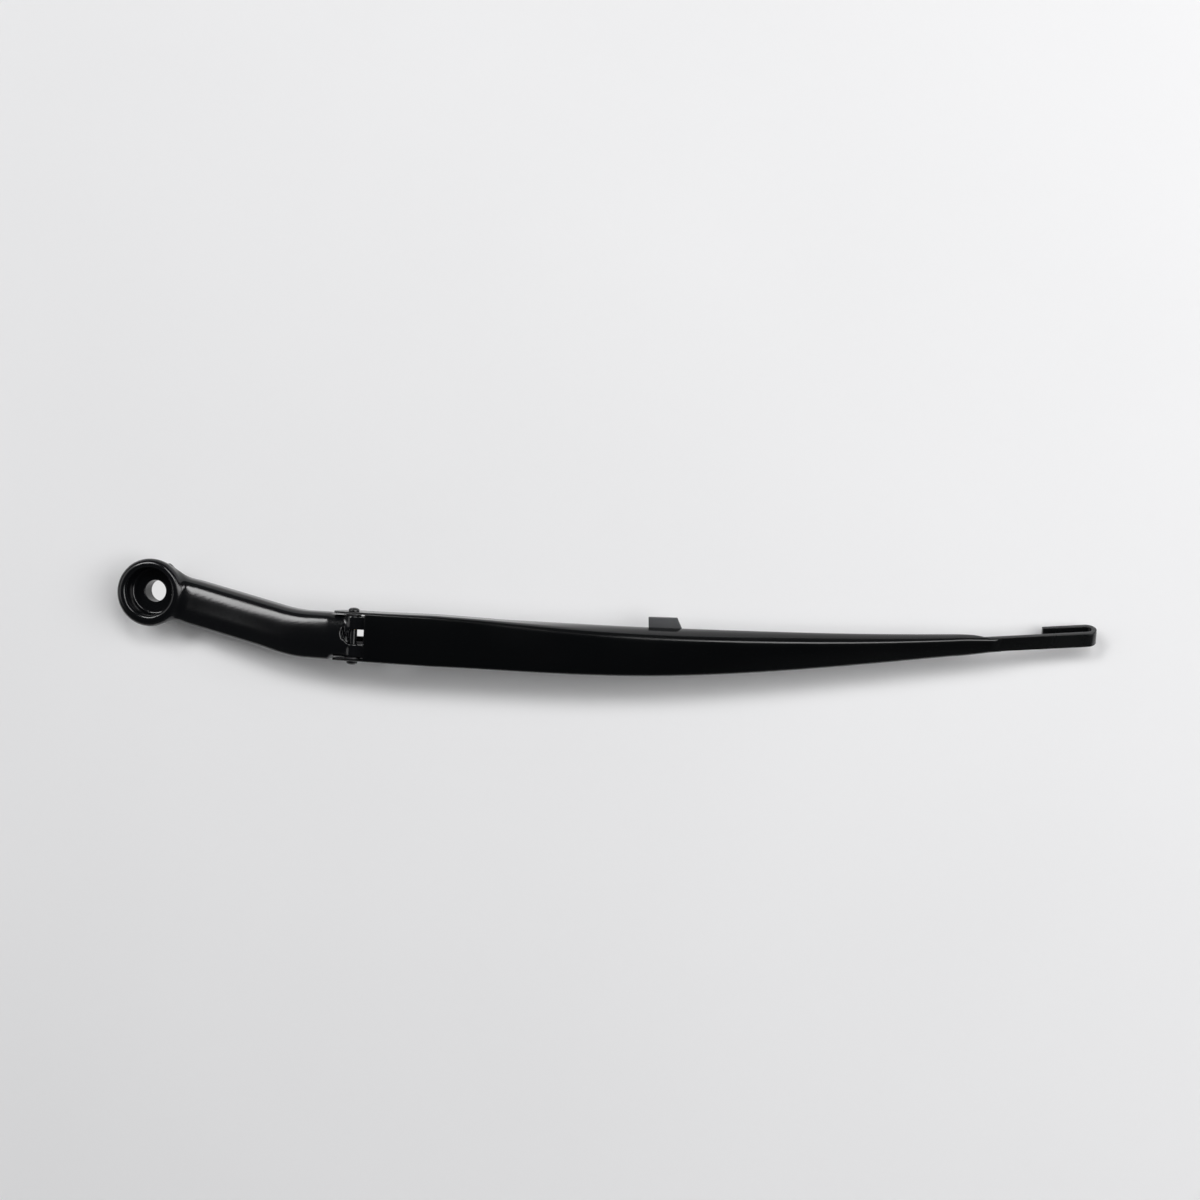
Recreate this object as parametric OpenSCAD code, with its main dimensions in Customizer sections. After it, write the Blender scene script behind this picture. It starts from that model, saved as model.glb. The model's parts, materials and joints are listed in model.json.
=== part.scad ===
// Wiper arm: a cast head with a nut recess, a spring-loaded pressed channel and a flat bar with a J-hook.
// The origin is on the spindle axis at the foot of the boss. +Z points out of the nut recess,
// +X runs with the channel from the hinge towards the hook, and the hinge pin lies along Y.

/* [Boss] */
// Outer diameter of the boss
boss_d = 42; // [39:0.5:46]
// Height of the boss
boss_h = 22; // [21:0.5:25]
// Radius that rounds the rim of the boss
rim_r = 4; // [2:0.25:4.5]
// Diameter of the recess for the nut
recess_d = 30; // [26:0.5:30]
// Depth of the recess for the nut
recess_depth = 11.5; // [9:0.5:13]
// Radius of the rolled lip round the recess
lip_r = 1.8; // [1:0.1:1.9]
// Diameter of the spindle bore
spindle_d = 13.8; // [10:0.2:16]
// Chamfer of the spindle bore at the recess floor
bore_chamfer = 0.6; // [0.2:0.1:1]

/* [Neck] */
// Length of the straight neck, from the spindle axis to the bend
neck_run = 97; // [80:1:120]
// Angle of the neck in plan, against the channel
neck_angle = 11.5; // [0:0.5:16]
// Radius of the bend in the neck
neck_bend_r = 110; // [80:5:150]
// Width of the neck
neck_w = 27.8; // [24:0.2:29]
// Depth of the neck
neck_depth = 15.5; // [14:0.5:17]
// Height of the neck's back where it leaves the boss
neck_start_z = 19; // [17:0.5:20]
// Radius that rounds the back of the neck
neck_round = 7; // [4:0.25:8]
// Rise of the back's crown, between the centres of its rounded edges
neck_crown = 1.25; // [0.5:0.05:2]
// Radius of the blend between neck and boss
blend_r = 12; // [6:0.5:16]
// Wall of the hollow under the neck
neck_wall = 4; // [3:0.25:6]

/* [Hinge] */
// Height of the hinge axis over the foot of the boss
hinge_z = 25; // [24:0.5:30]
// Distance from the bend in the neck to the hinge axis
hinge_run = 39.5; // [34:0.5:50]
// Distance from the hinge axis to the shoulder of the head
shoulder = 15; // [14:0.5:18]
// Radius of the head's knuckle round the pin
knuckle_r = 5; // [4.6:0.1:5.5]
// Diameter of the hinge pin
pin_d = 5; // [4:0.1:5.4]
// Diameter of the pin's riveted heads
pin_head_d = 6.8; // [6.2:0.1:8]
// Height of the pin's riveted heads
pin_head_h = 2.4; // [1.5:0.1:3]
// Wall of the bushes that the pin turns in
bush_wall = 0.8; // [0.5:0.1:1]
// Thickness of the friction washers beside the knuckle
washer_t = 0.8; // [0.5:0.1:1.2]
// Diameter of the friction washers
washer_d = 9.4; // [8.6:0.1:10]
// Running clearance round the pin, on the radius
run_gap = 0.05; // [0.03:0.01:0.08]
// Clearance of a fixed fit, on the radius
fit_gap = 0.02; // [0.01:0.01:0.04]
// Side clearance at each face of a washer
side_gap = 0.12; // [0.1:0.02:0.25]

/* [Spring] */
// Distance from the hinge axis to the anchor pin
anchor_reach = 9; // [8.6:0.1:10]
// Angle of the anchor pin below the channel's direction
anchor_angle = 48; // [42:1:54]
// Diameter of the anchor pin
anchor_d = 4; // [3:0.1:4.4]
// Thickness of the spring link
link_t = 3; // [2:0.1:3.2]
// Width of the spring link's strap
link_w = 3.6; // [3:0.1:4]
// Length of the spring link between its two eyes
link_len = 40; // [34:1:44]
// Sideways place of link and spring in the channel
link_side = -3; // [-4:0.25:0]
// Width of the slot in the knuckle
slot_w = 10; // [9:0.25:11]
// Sideways place of the slot in the knuckle
slot_side = -0.6; // [-1.5:0.1:0.5]
// Outer diameter of the tension spring
spring_d = 11.6; // [9:0.2:12]
// Diameter of the spring wire
wire_d = 2; // [1.4:0.1:2.1]
// Radius of the hooks at the spring's ends, at the middle of the wire
hook_r = 4.2; // [4:0.1:4.6]
// Turns of the tension spring
spring_turns = 20; // [12:1:22]
// Distance from the hinge axis to the spring's far hook
bracket_s = 136; // [130:1:150]
// Drop of the far hook below the hinge axis
bracket_drop = 8; // [7:0.25:9]

/* [Channel] */
// Length of the channel from the hinge axis to its tip
channel_len = 385; // [370:1:420]
// Width of the channel at the hinge
channel_w = 30.5; // [30:0.25:33]
// Depth of the channel at the hinge
channel_depth = 18.5; // [17.5:0.25:20]
// Thickness of the channel's sheet
sheet_t = 1.4; // [1:0.1:1.6]
// Radius of the channel's outer corners
corner_r = 2.6; // [2:0.1:3.2]
// Crown of the channel's face at the hinge
face_crown = 0.7; // [0.2:0.1:1.2]
// Rise of the channel's face over the hinge axis
face_rise = 6.5; // [6:0.1:7]
// Distance from the hinge axis to the edge of the cut-back face
web_cut = 8.4; // [8:0.1:10]
// Distance from the hinge axis to the start of the taper
taper_start = 50; // [30:1:80]
// Length of the straight, crimped tip
tip_run = 45; // [36:1:55]
// Turn of the tip about the arm's length
tip_twist = 24; // [0:1:26]
// Radius of the channel's sweep in plan
sweep_r = 2250; // [1800:50:4000]
// Distance from the hinge axis to the start of the sweep
sweep_start = 90; // [60:5:120]
// Radius of the channel's arch seen from the side
arch_r = 5000; // [4000:100:8000]
// Distance from the hinge axis to the start of the arch
arch_start = 30; // [10:5:60]
// Largest outward slope of the upper wall
wall_slope = 12; // [0:1:14]

/* [Hook] */
// Width of the flat bar
bar_w = 9; // [8:0.25:9.5]
// Thickness of the flat bar
bar_t = 3; // [2.5:0.1:3.2]
// Reach of the hook beyond the channel's tip
hook_reach = 63; // [55:1:90]
// Length of the bar inside the channel
bar_inside = 62; // [50:1:70]
// Gap between the hook's two legs
hook_gap = 6; // [5:0.25:7]
// Length of the hook's return leg over its bend
hook_return = 30.5; // [24:0.5:36]
// Clearance between the bar and the crimped channel
bar_gap = 0.1; // [0.05:0.05:0.2]

/* [Clip] */
// Distance from the hinge axis to the middle of the clip
clip_s = 192; // [170:1:230]
// Length of the clip along the channel
clip_len = 19; // [14:0.5:24]
// Reach of the clip's lip beyond the wall
clip_reach = 6; // [4:0.25:8]
// Wall of the clip
clip_t = 1.6; // [1.2:0.1:2]
// Height of the clip's walls beside the sheet
clip_grip = 4.5; // [4:0.25:6]
// Length over which the lip's far end slants
clip_slant = 2.6; // [0:0.2:5]
// Clearance between the clip and the channel's wall
clip_gap = 0.35; // [0.3:0.05:0.45]

/* [Hidden] */
$fn = 64;
eps = 0.01;

// Small helpers for numbers and vectors
function clamp(v, low = 0, high = 1) = max(low, min(high, v));
function ease(v) = let (k = clamp(v)) k * k * (3 - 2 * k);
function unit(v) = v / norm(v);
function turned(p, a) = [p.x * cos(a) - p.y * sin(a), p.x * sin(a) + p.y * cos(a)];

// Plan of the neck: a straight run, a bend that is tangent to both sides, and a run along X to the shoulder
bend_tangent = neck_bend_r * tan(neck_angle / 2);
straight_end = neck_run - bend_tangent;
bend_len = neck_bend_r * neck_angle * PI / 180;
head_len = straight_end + bend_len + hinge_run - bend_tangent - shoulder;
bend_start = turned([straight_end, 0], -neck_angle);
bend_centre = bend_start + turned([0, neck_bend_r], -neck_angle);
hinge_x = neck_run * cos(neck_angle) + hinge_run;
hinge_y = -neck_run * sin(neck_angle);
function bend_turn(u) = neck_angle * clamp((u - straight_end) / max(bend_len, eps));
function head_heading(u) = bend_turn(u) - neck_angle;
function head_plan(u) =
    u <= straight_end ? turned([u, 0], -neck_angle)
    : u <= straight_end + bend_len ? bend_centre + turned([0, -neck_bend_r], head_heading(u))
    : [hinge_x - shoulder - (head_len - u), hinge_y];

// Half width of the neck: it leaves the boss in a round blend that is tangent to both
blend_u = sqrt(pow(boss_d / 2 + blend_r, 2) - pow(neck_w / 2 + blend_r, 2));
blend_on_boss = blend_u * (boss_d / 2) / (boss_d / 2 + blend_r);
neck_shoulder_w = channel_w - 2 * (sheet_t + side_gap);
function neck_half(u) =
    u < blend_u ? neck_w / 2 + blend_r - sqrt(pow(blend_r, 2) - pow(blend_u - u, 2))
    : neck_w / 2 + (neck_shoulder_w - neck_w) / 2 * ease((u - head_len / 2) / (head_len / 2));
function neck_top(u) = neck_start_z + (hinge_z + face_rise - neck_start_z) * ease(u / head_len * 0.93);

// A crowned back whose rounded edges run on from its slope: an outline from the foot of one side to the other foot
function shell_outline(half_w, depth, r, crown, slope_up = 0, slope_down = 0, corner_steps = 4, back_steps = 6) =
    let (tilt = atan(2 * crown / (half_w - r)), edge = half_w - r + r * sin(tilt), drop = edge * tan(tilt) / 2)
    concat(
        [[half_w + depth * tan(slope_up), -depth]],
        [for (i = [0:corner_steps]) let (a = (90 - tilt) * i / corner_steps)
            [half_w - r + r * cos(a), r * (sin(a) - cos(tilt)) - drop]],
        [for (i = [1:back_steps - 1]) let (k = 1 - 2 * i / back_steps)
            [edge * k, -drop * k * k]],
        [for (i = [corner_steps:-1:0]) let (a = (90 - tilt) * i / corner_steps)
            [r - half_w - r * cos(a), r * (sin(a) - cos(tilt)) - drop]],
        [[-half_w - depth * tan(slope_down), -depth]]);

// A solid through a list of rings with the same number of points, closed with a fan at each end
module loft(rings) {
    n = len(rings[0]);
    last = len(rings) - 1;
    points = [for (ring = rings) for (p = ring) p];
    sides = [for (k = [0:last - 1]) for (i = [0:n - 1])
        let (j = (i + 1) % n, a = k * n + i, b = k * n + j, c = a + n, d = b + n)
        for (tri = [[a, c, b], [b, c, d]]) tri];
    near_end = [for (i = [1:n - 2]) [0, i, i + 1]];
    far_end = [for (i = [1:n - 2]) [last * n, last * n + i + 1, last * n + i]];
    polyhedron(points = points, faces = concat(sides, near_end, far_end), convexity = 6);
}

// A sheet through rings whose first half is the outer skin and whose second half is the inner skin, point by point
module folded_sheet(outer, inner) {
    n = len(outer[0]);
    last = len(outer) - 1;
    count = n * (last + 1);
    points = concat([for (ring = outer) for (p = ring) p], [for (ring = inner) for (p = ring) p]);
    skins = [for (k = [0:last - 1]) for (i = [0:n - 2])
        let (a = k * n + i, b = a + 1, c = a + n, d = b + n)
        for (tri = [[a, c, b], [b, c, d],
                    [count + a, count + b, count + c], [count + b, count + d, count + c]]) tri];
    edges = [for (k = [0:last - 1]) for (i = [0, n - 1])
        let (a = k * n + i, c = a + n, flip = i == 0)
        for (tri = [[a, c, count + a], [c, count + c, count + a]]) flip ? [tri[2], tri[1], tri[0]] : tri];
    ends = [for (k = [0, last]) for (i = [0:n - 2])
        let (a = k * n + i, b = a + 1, flip = k == 0)
        for (tri = [[a, count + a, b], [b, count + a, count + b]]) flip ? [tri[2], tri[1], tri[0]] : tri];
    polyhedron(points = points, faces = concat(skins, edges, ends), convexity = 8);
}

// Head: place a ring of section points at station u of the neck
function head_ring(u, outline, lower = 0) =
    let (p = head_plan(u), a = head_heading(u), z = neck_top(u) - lower)
    [for (q = outline) [p.x - q.x * sin(a), p.y + q.x * cos(a), z + q.y]];

module at_hinge() {
    translate([hinge_x, hinge_y, hinge_z]) children();
}

// A straight cylinder along Y, centred on the hinge plane's point (s, z) at the sideways place side
module cross_pin(r, length, s = 0, z = 0, side = 0, r_end = undef) {
    at_hinge()
        translate([s, side + length / 2, z])
            rotate([90, 0, 0])
                cylinder(r1 = r, r2 = is_undef(r_end) ? r : r_end, h = length);
}

knuckle_w = channel_w - 2 * (sheet_t + washer_t + 2 * side_gap);
anchor = [-anchor_reach * cos(anchor_angle), -anchor_reach * sin(anchor_angle)];
bush_r = pin_d / 2 + run_gap + bush_wall;
slot_hi = slot_side + slot_w / 2;
slot_lo = slot_side - slot_w / 2;
anchor_boss_r = anchor_d / 2 + 2.2;
link_eye_r = anchor_d / 2 + run_gap + 1.9;
slot_back = anchor.x - link_eye_r - 1.2;
slot_roof = anchor.y + link_eye_r + 0.8;
knuckle_back = -shoulder - 1;
knuckle_floor = face_rise - neck_depth;
stop_top = face_rise - sheet_t - face_crown - 0.25;
stop_reach = web_cut + 3;

module boss_body() {
    rotate_extrude()
        union() {
            square([boss_d / 2, boss_h - rim_r]);
            square([boss_d / 2 - rim_r, boss_h]);
            translate([boss_d / 2 - rim_r, boss_h - rim_r]) circle(r = rim_r);
        }
}

module spindle_bore() {
    recess_floor = boss_h - recess_depth;
    translate([0, 0, -1]) cylinder(d = spindle_d, h = boss_h);
    translate([0, 0, recess_floor - bore_chamfer])
        cylinder(d1 = spindle_d, d2 = spindle_d + 2 * bore_chamfer + eps, h = bore_chamfer + eps);
    translate([0, 0, recess_floor]) cylinder(d = recess_d, h = recess_depth + 1);
    translate([0, 0, boss_h - lip_r])
        rotate_extrude()
            difference() {
                square([recess_d / 2 + lip_r, lip_r + 1]);
                translate([recess_d / 2 + lip_r, 0]) circle(r = lip_r);
            }
}

// The neck's root starts inside the boss, a little narrower than it, and comes out where the blend begins
root_bite = 2;
function root_half(u) = sqrt(pow(boss_d / 2, 2) - pow(u, 2)) - root_bite / 2;
module neck() {
    first = blend_on_boss + root_bite / 2;
    steps = 18;
    stations = concat([blend_on_boss - root_bite], [for (i = [0:steps]) first + (head_len - first) * i / steps]);
    loft([for (u = stations)
        let (half = u < blend_on_boss ? root_half(u) : neck_half(u))
        head_ring(u, shell_outline(half, neck_depth, neck_round, neck_crown))]);
}

module neck_hollow() {
    first = boss_d / 2 + 3;
    last = head_len - 10;
    steps = 8;
    loft([for (i = [0:steps])
        let (u = first + (last - first) * i / steps, half = neck_half(u) - neck_wall)
        head_ring(u, [[half, -neck_depth - 1], [half - 0.5, 1.6 - neck_depth / 2], [half - 2, -neck_wall - neck_crown],
                      [2 - half, -neck_wall - neck_crown], [0.5 - half, 1.6 - neck_depth / 2],
                      [-half, -neck_depth - 1]])]);
}

// Side of the knuckle: round about the pin, with a stop under the channel's face and a foot round the anchor pin
module knuckle_profile() {
    union() {
        circle(r = knuckle_r);
        translate(anchor) circle(r = anchor_boss_r);
        translate([stop_reach - 1.5, stop_top - 1.5]) circle(r = 1.5);
        polygon([[0, knuckle_r], [-6, face_rise - 1.4], [-9.5, face_rise - 1.1],
                 [knuckle_back, face_rise - 2], [knuckle_back, knuckle_floor + 0.5],
                 [anchor.x, anchor.y - anchor_boss_r], anchor, [knuckle_r * 0.8, -knuckle_r * 0.6],
                 [stop_reach, stop_top - 3.2], [stop_reach, stop_top - 1.5],
                 [stop_reach - 1.5, stop_top], [knuckle_r * 0.6, stop_top]]);
    }
}

// The slot is open above the pin up to a round end, and runs back under a roof to clear the link's eye
module link_slot() {
    translate([0, slot_side, -20]) cylinder(d = slot_w, h = 40);
    translate([0, slot_lo, -20]) cube([20, slot_w, 40]);
    translate([slot_back, slot_lo, -20]) cube([20, slot_w, 20 + slot_roof]);
}

module head() {
    color("#16171a")
        difference() {
            union() {
                boss_body();
                neck();
                at_hinge() translate([0, knuckle_w / 2, 0]) rotate([90, 0, 0])
                    linear_extrude(height = knuckle_w) knuckle_profile();
            }
            spindle_bore();
            neck_hollow();
            cross_pin(bush_r + fit_gap, knuckle_w + 2);
            cross_pin(anchor_d / 2 + fit_gap, knuckle_w + 2, anchor.x, anchor.y);
            at_hinge() link_slot();
        }
}

module hinge_bush(low, high) {
    color("#a8824a")
        difference() {
            cross_pin(bush_r, high - low, side = (low + high) / 2);
            cross_pin(pin_d / 2 + run_gap, high - low + 1, side = (low + high) / 2);
        }
}
module hinge_bush_left() { hinge_bush(slot_hi, knuckle_w / 2); }
module hinge_bush_right() { hinge_bush(-knuckle_w / 2, slot_lo); }

module friction_washer(mirrored) {
    mid = (knuckle_w + washer_t) / 2 + side_gap;
    color("#d8d4c6")
        difference() {
            cross_pin(washer_d / 2, washer_t, side = mirrored ? -mid : mid);
            cross_pin(pin_d / 2 + run_gap, washer_t + 1, side = mirrored ? -mid : mid);
        }
}
module friction_washer_left() { friction_washer(false); }
module friction_washer_right() { friction_washer(true); }

module anchor_pin() {
    color("#8d9196")
        cross_pin(anchor_d / 2, knuckle_w - 0.4, anchor.x, anchor.y);
}

// Hinge pin: a plain shank with a domed, riveted head outside each ear
module pin_head() {
    crown_r = pin_head_d / 2;
    shank = channel_w / 2 + 0.02;
    translate([0, shank, 0]) rotate([-90, 0, 0])
        rotate_extrude()
            union() {
                square([crown_r, pin_head_h * 0.4]);
                intersection() {
                    translate([0, pin_head_h * 0.4]) circle(r = crown_r);
                    square([crown_r, pin_head_h]);
                }
            }
}
module hinge_pin() {
    color("#1b1c1f")
        union() {
            cross_pin(pin_d / 2, channel_w + 0.1);
            at_hinge() pin_head();
            at_hinge() mirror([0, 1, 0]) pin_head();
        }
}

// Spring link: an eye on the anchor pin, a C that clears the hinge pin over the whole lift, and a far eye
bracket = [bracket_s, -bracket_drop];
spring_line = bracket - anchor;
line_angle = atan2(spring_line.y, spring_line.x);
c_r = anchor_reach + pin_d / 2 + 0.4 + link_w / 2;
c_out = line_angle - 56;
function on_link(r, a) = anchor + r * [cos(a), sin(a)];
module link_bend(p, q) {
    run = q - p;
    translate(p) circle(d = link_w);
    translate(q) circle(d = link_w);
    translate(p) rotate(atan2(run.y, run.x)) translate([0, -link_w / 2]) square([norm(run), link_w]);
}
link_end = on_link(link_len, line_angle);
module spring_link() {
    stops = concat([on_link(2, c_out - 22), on_link(c_r * 0.72, c_out - 16)],
                   [for (i = [0:4]) on_link(c_r + 0.3 * i, c_out + i * 11)],
                   [on_link(c_r + 5.5, line_angle)]);
    color("#3a3c40")
        at_hinge() translate([0, link_side + link_t / 2, 0]) rotate([90, 0, 0])
            linear_extrude(height = link_t)
                difference() {
                    union() {
                        translate(anchor) circle(r = link_eye_r);
                        for (i = [0:len(stops) - 2]) link_bend(stops[i], stops[i + 1]);
                        link_bend(stops[len(stops) - 1], link_end);
                        translate(link_end) circle(r = wire_d / 2 + 2.2);
                    }
                    translate(anchor) circle(r = anchor_d / 2 + run_gap);
                    translate(link_end) circle(r = wire_d / 2 + 0.5);
                }
}

// Tension spring: its wire passes through the link's eye, winds its turns and ends in a hook in the bracket
coil_r = (spring_d - wire_d) / 2;
line_len = norm(spring_line);
coil_from = link_len + 2 * hook_r + 2;
coil_to = line_len - 2 * hook_r - 2;
steps_per_turn = 14;
end_swell = 0.35;
// Points of the wire's middle, with x along the spring's line from the anchor pin, y across and z up
function hook_points(centre, from, to) =
    [for (a = [from:25:to]) [centre + hook_r * cos(a), hook_r * sin(a), 0]];
function coil_points() = [for (i = [0:spring_turns * steps_per_turn])
    let (turn = i / steps_per_turn, a = 360 * turn - 90,
         swell = coil_r * min(1, end_swell + min(turn, spring_turns - turn)))
    [coil_from + (coil_to - coil_from) * turn / spring_turns, swell * sin(a), swell * cos(a)]];
function wire_path() = concat(
    hook_points(link_len + hook_r, 50, 300),
    coil_points(),
    hook_points(line_len - hook_r, -120, 130));
module swept_wire(path, r, sides = 6) {
    last = len(path) - 1;
    loft([for (i = [0:last])
        let (t = unit(path[min(i + 1, last)] - path[max(i - 1, 0)]),
             radial = abs(t.x) > 0.9 ? [0, 0, 1] : [1, 0, 0],
             u = unit(cross(t, radial)), v = cross(t, u))
        [for (k = [0:sides - 1]) path[i] + r * (cos(360 * k / sides) * u + sin(360 * k / sides) * v)]]);
}
module tension_spring() {
    color("#77797d")
        at_hinge() translate([anchor.x, link_side, anchor.y]) rotate([0, -line_angle, 0])
            swept_wire(wire_path(), wire_d / 2);
}

// Channel: stations s run from the hinge axis to the tip
tip_start = channel_len - tip_run;
hook_s = channel_len + hook_reach;
tip_w = bar_w + 2 * (sheet_t + bar_gap);
twist_start = sweep_start - 10;
function swept(s) = let (k = max(0, min(s, tip_start) - sweep_start)) k * k / (2 * sweep_r);
function sweep_slope(s) = max(0, min(s, tip_start) - sweep_start) / sweep_r;
function arched(s) = let (k = max(0, min(s, tip_start) - arch_start)) k * k / (2 * arch_r);
function arch_slope(s) = max(0, min(s, tip_start) - arch_start) / arch_r;
function twist(s) = tip_twist * ease((s - twist_start) / (tip_start - twist_start));
function width(s) = channel_w + (tip_w - channel_w) * clamp((s - taper_start) / (tip_start + tip_run / 2 - taper_start));
bar_seat = 0.5;
bar_top = -sheet_t - face_crown * tip_w / channel_w - bar_seat;
bar_floor = bar_top - bar_t - bar_gap;
tip_depth = sheet_t - bar_floor;
tip_corner_r = sheet_t + 0.6;
function corner(s) = corner_r + (tip_corner_r - corner_r) * clamp((s - taper_start) / (tip_start - taper_start));
function depth(s) = channel_depth + (tip_depth - channel_depth) * clamp((s - taper_start) / (channel_len - taper_start));
function crown(s) = face_crown * width(s) / channel_w;
function upper_slope(s) = wall_slope * sin(180 * clamp((s - sweep_start) / (channel_len - sweep_start)));

// Middle of the channel's face at station s, and its turns about Z, Y and X
function face_at(s) =
    let (over = max(0, s - tip_start))
    [hinge_x + s, hinge_y + swept(s) + over * sweep_slope(s), hinge_z + face_rise - arched(s) - over * arch_slope(s)];
function across(s) = let (a = atan(sweep_slope(s)), t = twist(s), p = atan(arch_slope(s)))
    [-sin(a) * cos(t) + cos(a) * sin(p) * sin(t), cos(a) * cos(t) + sin(a) * sin(p) * sin(t), cos(p) * sin(t)];
function outward(s) = let (a = atan(sweep_slope(s)), t = twist(s), p = atan(arch_slope(s)))
    [sin(a) * sin(t) + cos(a) * sin(p) * cos(t), -cos(a) * sin(t) + sin(a) * sin(p) * cos(t), cos(p) * cos(t)];
// A point of the section: q.x across the face and q.y outwards, turned about the middle of the depth
function section_point(s, q) =
    face_at(s) - [0, 0, depth(s) / 2] + across(s) * q.x + outward(s) * (q.y + depth(s) / 2);
function channel_ring(s, inset) =
    [for (q = shell_outline(width(s) / 2 - inset, depth(s) - inset, max(corner(s) - inset, 0.6), crown(s),
                            upper_slope(s)))
        section_point(s, [q.x, q.y - inset])];

channel_steps = 34;
channel_stations = concat([-channel_depth + face_rise, web_cut, taper_start / 2],
    [for (i = [0:channel_steps]) taper_start + (channel_len - taper_start) * i / channel_steps]);
ear_r = channel_depth - face_rise;

// Places children in the frame of the channel's section, with the origin on the outer face at station s
module at_face(s) {
    translate(section_point(s, [0, 0]))
        rotate([0, 0, atan(sweep_slope(s))])
            rotate([0, atan(arch_slope(s)), 0])
                rotate([twist(s), 0, 0])
                    children();
}

// The lips of the tip fold under the flat bar and hold it
module crimp(side) {
    lip = bar_w * 0.3;
    at_face(tip_start + tip_run / 2)
        translate([0, side * (tip_w - lip - 0.4) / 2, bar_floor - sheet_t / 2])
            cube([tip_run - 4, lip, sheet_t], center = true);
}

module channel() {
    color("#101114")
        difference() {
            union() {
                folded_sheet([for (s = channel_stations) channel_ring(s, 0)],
                             [for (s = channel_stations) channel_ring(s, sheet_t)]);
                crimp(1);
                crimp(-1);
            }
            // The face is cut back to let the head in, and the ears are round about the pin
            at_hinge() translate([-30, -channel_w / 2 + sheet_t, -1])
                cube([30 + web_cut, channel_w - 2 * sheet_t, 20]);
            at_hinge() translate([-30, -channel_w, -20])
                difference() {
                    cube([30, 2 * channel_w, 40]);
                    translate([30, -1, 20]) rotate([-90, 0, 0]) cylinder(r = ear_r, h = 2 * channel_w + 2);
                }
            cross_pin(pin_d / 2 + fit_gap / 2, channel_w + 4);
            // The tip runs out in a slant, so that the bar leaves it from under the face
            at_face(channel_len) translate([0, 0, -sheet_t]) rotate([0, -50, 0])
                translate([0, -tip_w, -20]) cube([20, 2 * tip_w, 40]);
        }
}

// Spring bracket: an angle of sheet steel welded under the face, with a hole for the far hook
module spring_bracket() {
    foot = -sheet_t - crown(bracket_s) - 0.1;
    foot_len = 16;
    foot_w = 9;
    nose_r = wire_d / 2 + 2.4;
    drop = face_rise + bracket_drop - arched(bracket_s);
    color("#4a4d52")
        difference() {
            union() {
                at_face(bracket_s) translate([-nose_r, link_side - sheet_t / 2, foot - sheet_t])
                    cube([foot_len + nose_r, foot_w, sheet_t]);
                at_face(bracket_s) translate([0, link_side + sheet_t / 2, 0]) rotate([90, 0, 0])
                    linear_extrude(height = sheet_t)
                        union() {
                            translate([0, -drop]) circle(r = nose_r);
                            polygon([[-nose_r, -drop], [-nose_r, foot - sheet_t / 2], [foot_len, foot - sheet_t / 2],
                                     [foot_len, foot - 3], [nose_r * 0.7, -drop - nose_r * 0.7], [0, -drop]]);
                        }
            }
            cross_pin(wire_d / 2 + 0.5, 4 * sheet_t, bracket.x, bracket.y, link_side);
        }
}

// Flat bar with its J-hook, straight and square to the crimped tip
module hook_bar() {
    tip_mid = tip_start + tip_run / 2;
    back = tip_mid - (channel_len - bar_inside);
    front = hook_s - tip_mid;
    outer_r = hook_gap / 2 + bar_t;
    color("#141518")
        at_face(tip_mid)
            translate([0, bar_w / 2, bar_top]) rotate([90, 0, 0])
                linear_extrude(height = bar_w)
                    union() {
                        translate([-back, -bar_t]) square([back + front - outer_r, bar_t]);
                        translate([front - hook_return, -2 * outer_r]) square([hook_return - outer_r, bar_t]);
                        translate([front - outer_r, -outer_r])
                            difference() {
                                circle(r = outer_r);
                                circle(r = hook_gap / 2);
                                translate([-2 * outer_r, -2 * outer_r]) square([2 * outer_r, 4 * outer_r]);
                            }
                    }
}

// Hose clip: a moulded U pushed on the upper wall's edge, with a lip that stands out
function wall_foot(s) = section_point(s, [width(s) / 2 + depth(s) * tan(upper_slope(s)), -depth(s)]);
module hose_clip() {
    slot = sheet_t + 2 * clip_gap;
    lip_end = clip_gap + clip_reach;
    run = wall_foot(clip_s + clip_len / 2) - wall_foot(clip_s - clip_len / 2);
    color("#5b5d60")
        translate(wall_foot(clip_s))
            rotate([0, -atan2(run.z, norm([run.x, run.y])), atan2(run.y, run.x)])
                rotate([twist(clip_s) + upper_slope(clip_s), 0, 0])
                    rotate([90, 0, 90])
                        translate([0, 0, -clip_len / 2])
                            difference() {
                                linear_extrude(height = clip_len)
                                    difference() {
                                        union() {
                                            translate([-sheet_t - clip_gap - clip_t, -clip_gap - clip_t])
                                                square([slot + 2 * clip_t, clip_grip + clip_t]);
                                            translate([0, clip_grip - clip_t - 2]) square([lip_end, clip_t]);
                                        }
                                        translate([-sheet_t - clip_gap, -clip_gap]) square([slot, clip_grip + 2]);
                                    }
                                // The lip's far end is cut in a slant
                                translate([0, clip_grip, 0]) rotate([90, 0, 0])
                                    linear_extrude(height = clip_grip + 2 * clip_t)
                                        polygon([[clip_gap + clip_t, clip_len + eps], [lip_end + eps, clip_len + eps],
                                                 [lip_end + eps, clip_len - clip_slant]]);
                            }
}

head();
hinge_bush_left();
hinge_bush_right();
friction_washer_left();
friction_washer_right();
anchor_pin();
spring_link();
tension_spring();
hinge_pin();
channel();
spring_bracket();
hook_bar();
hose_clip();
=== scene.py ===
"""Wiper arm on a pale floor: cast head, pressed channel, flat bar with its hook, and the spring inside.

Lengths are in millimetres until MM turns them to metres. Stations run along the arm from the hinge axis.
"""
import json
from math import atan, cos, degrees, pi, radians, sin, sqrt, tan

import bmesh
import bpy
from mathutils import Matrix, Vector


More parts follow.
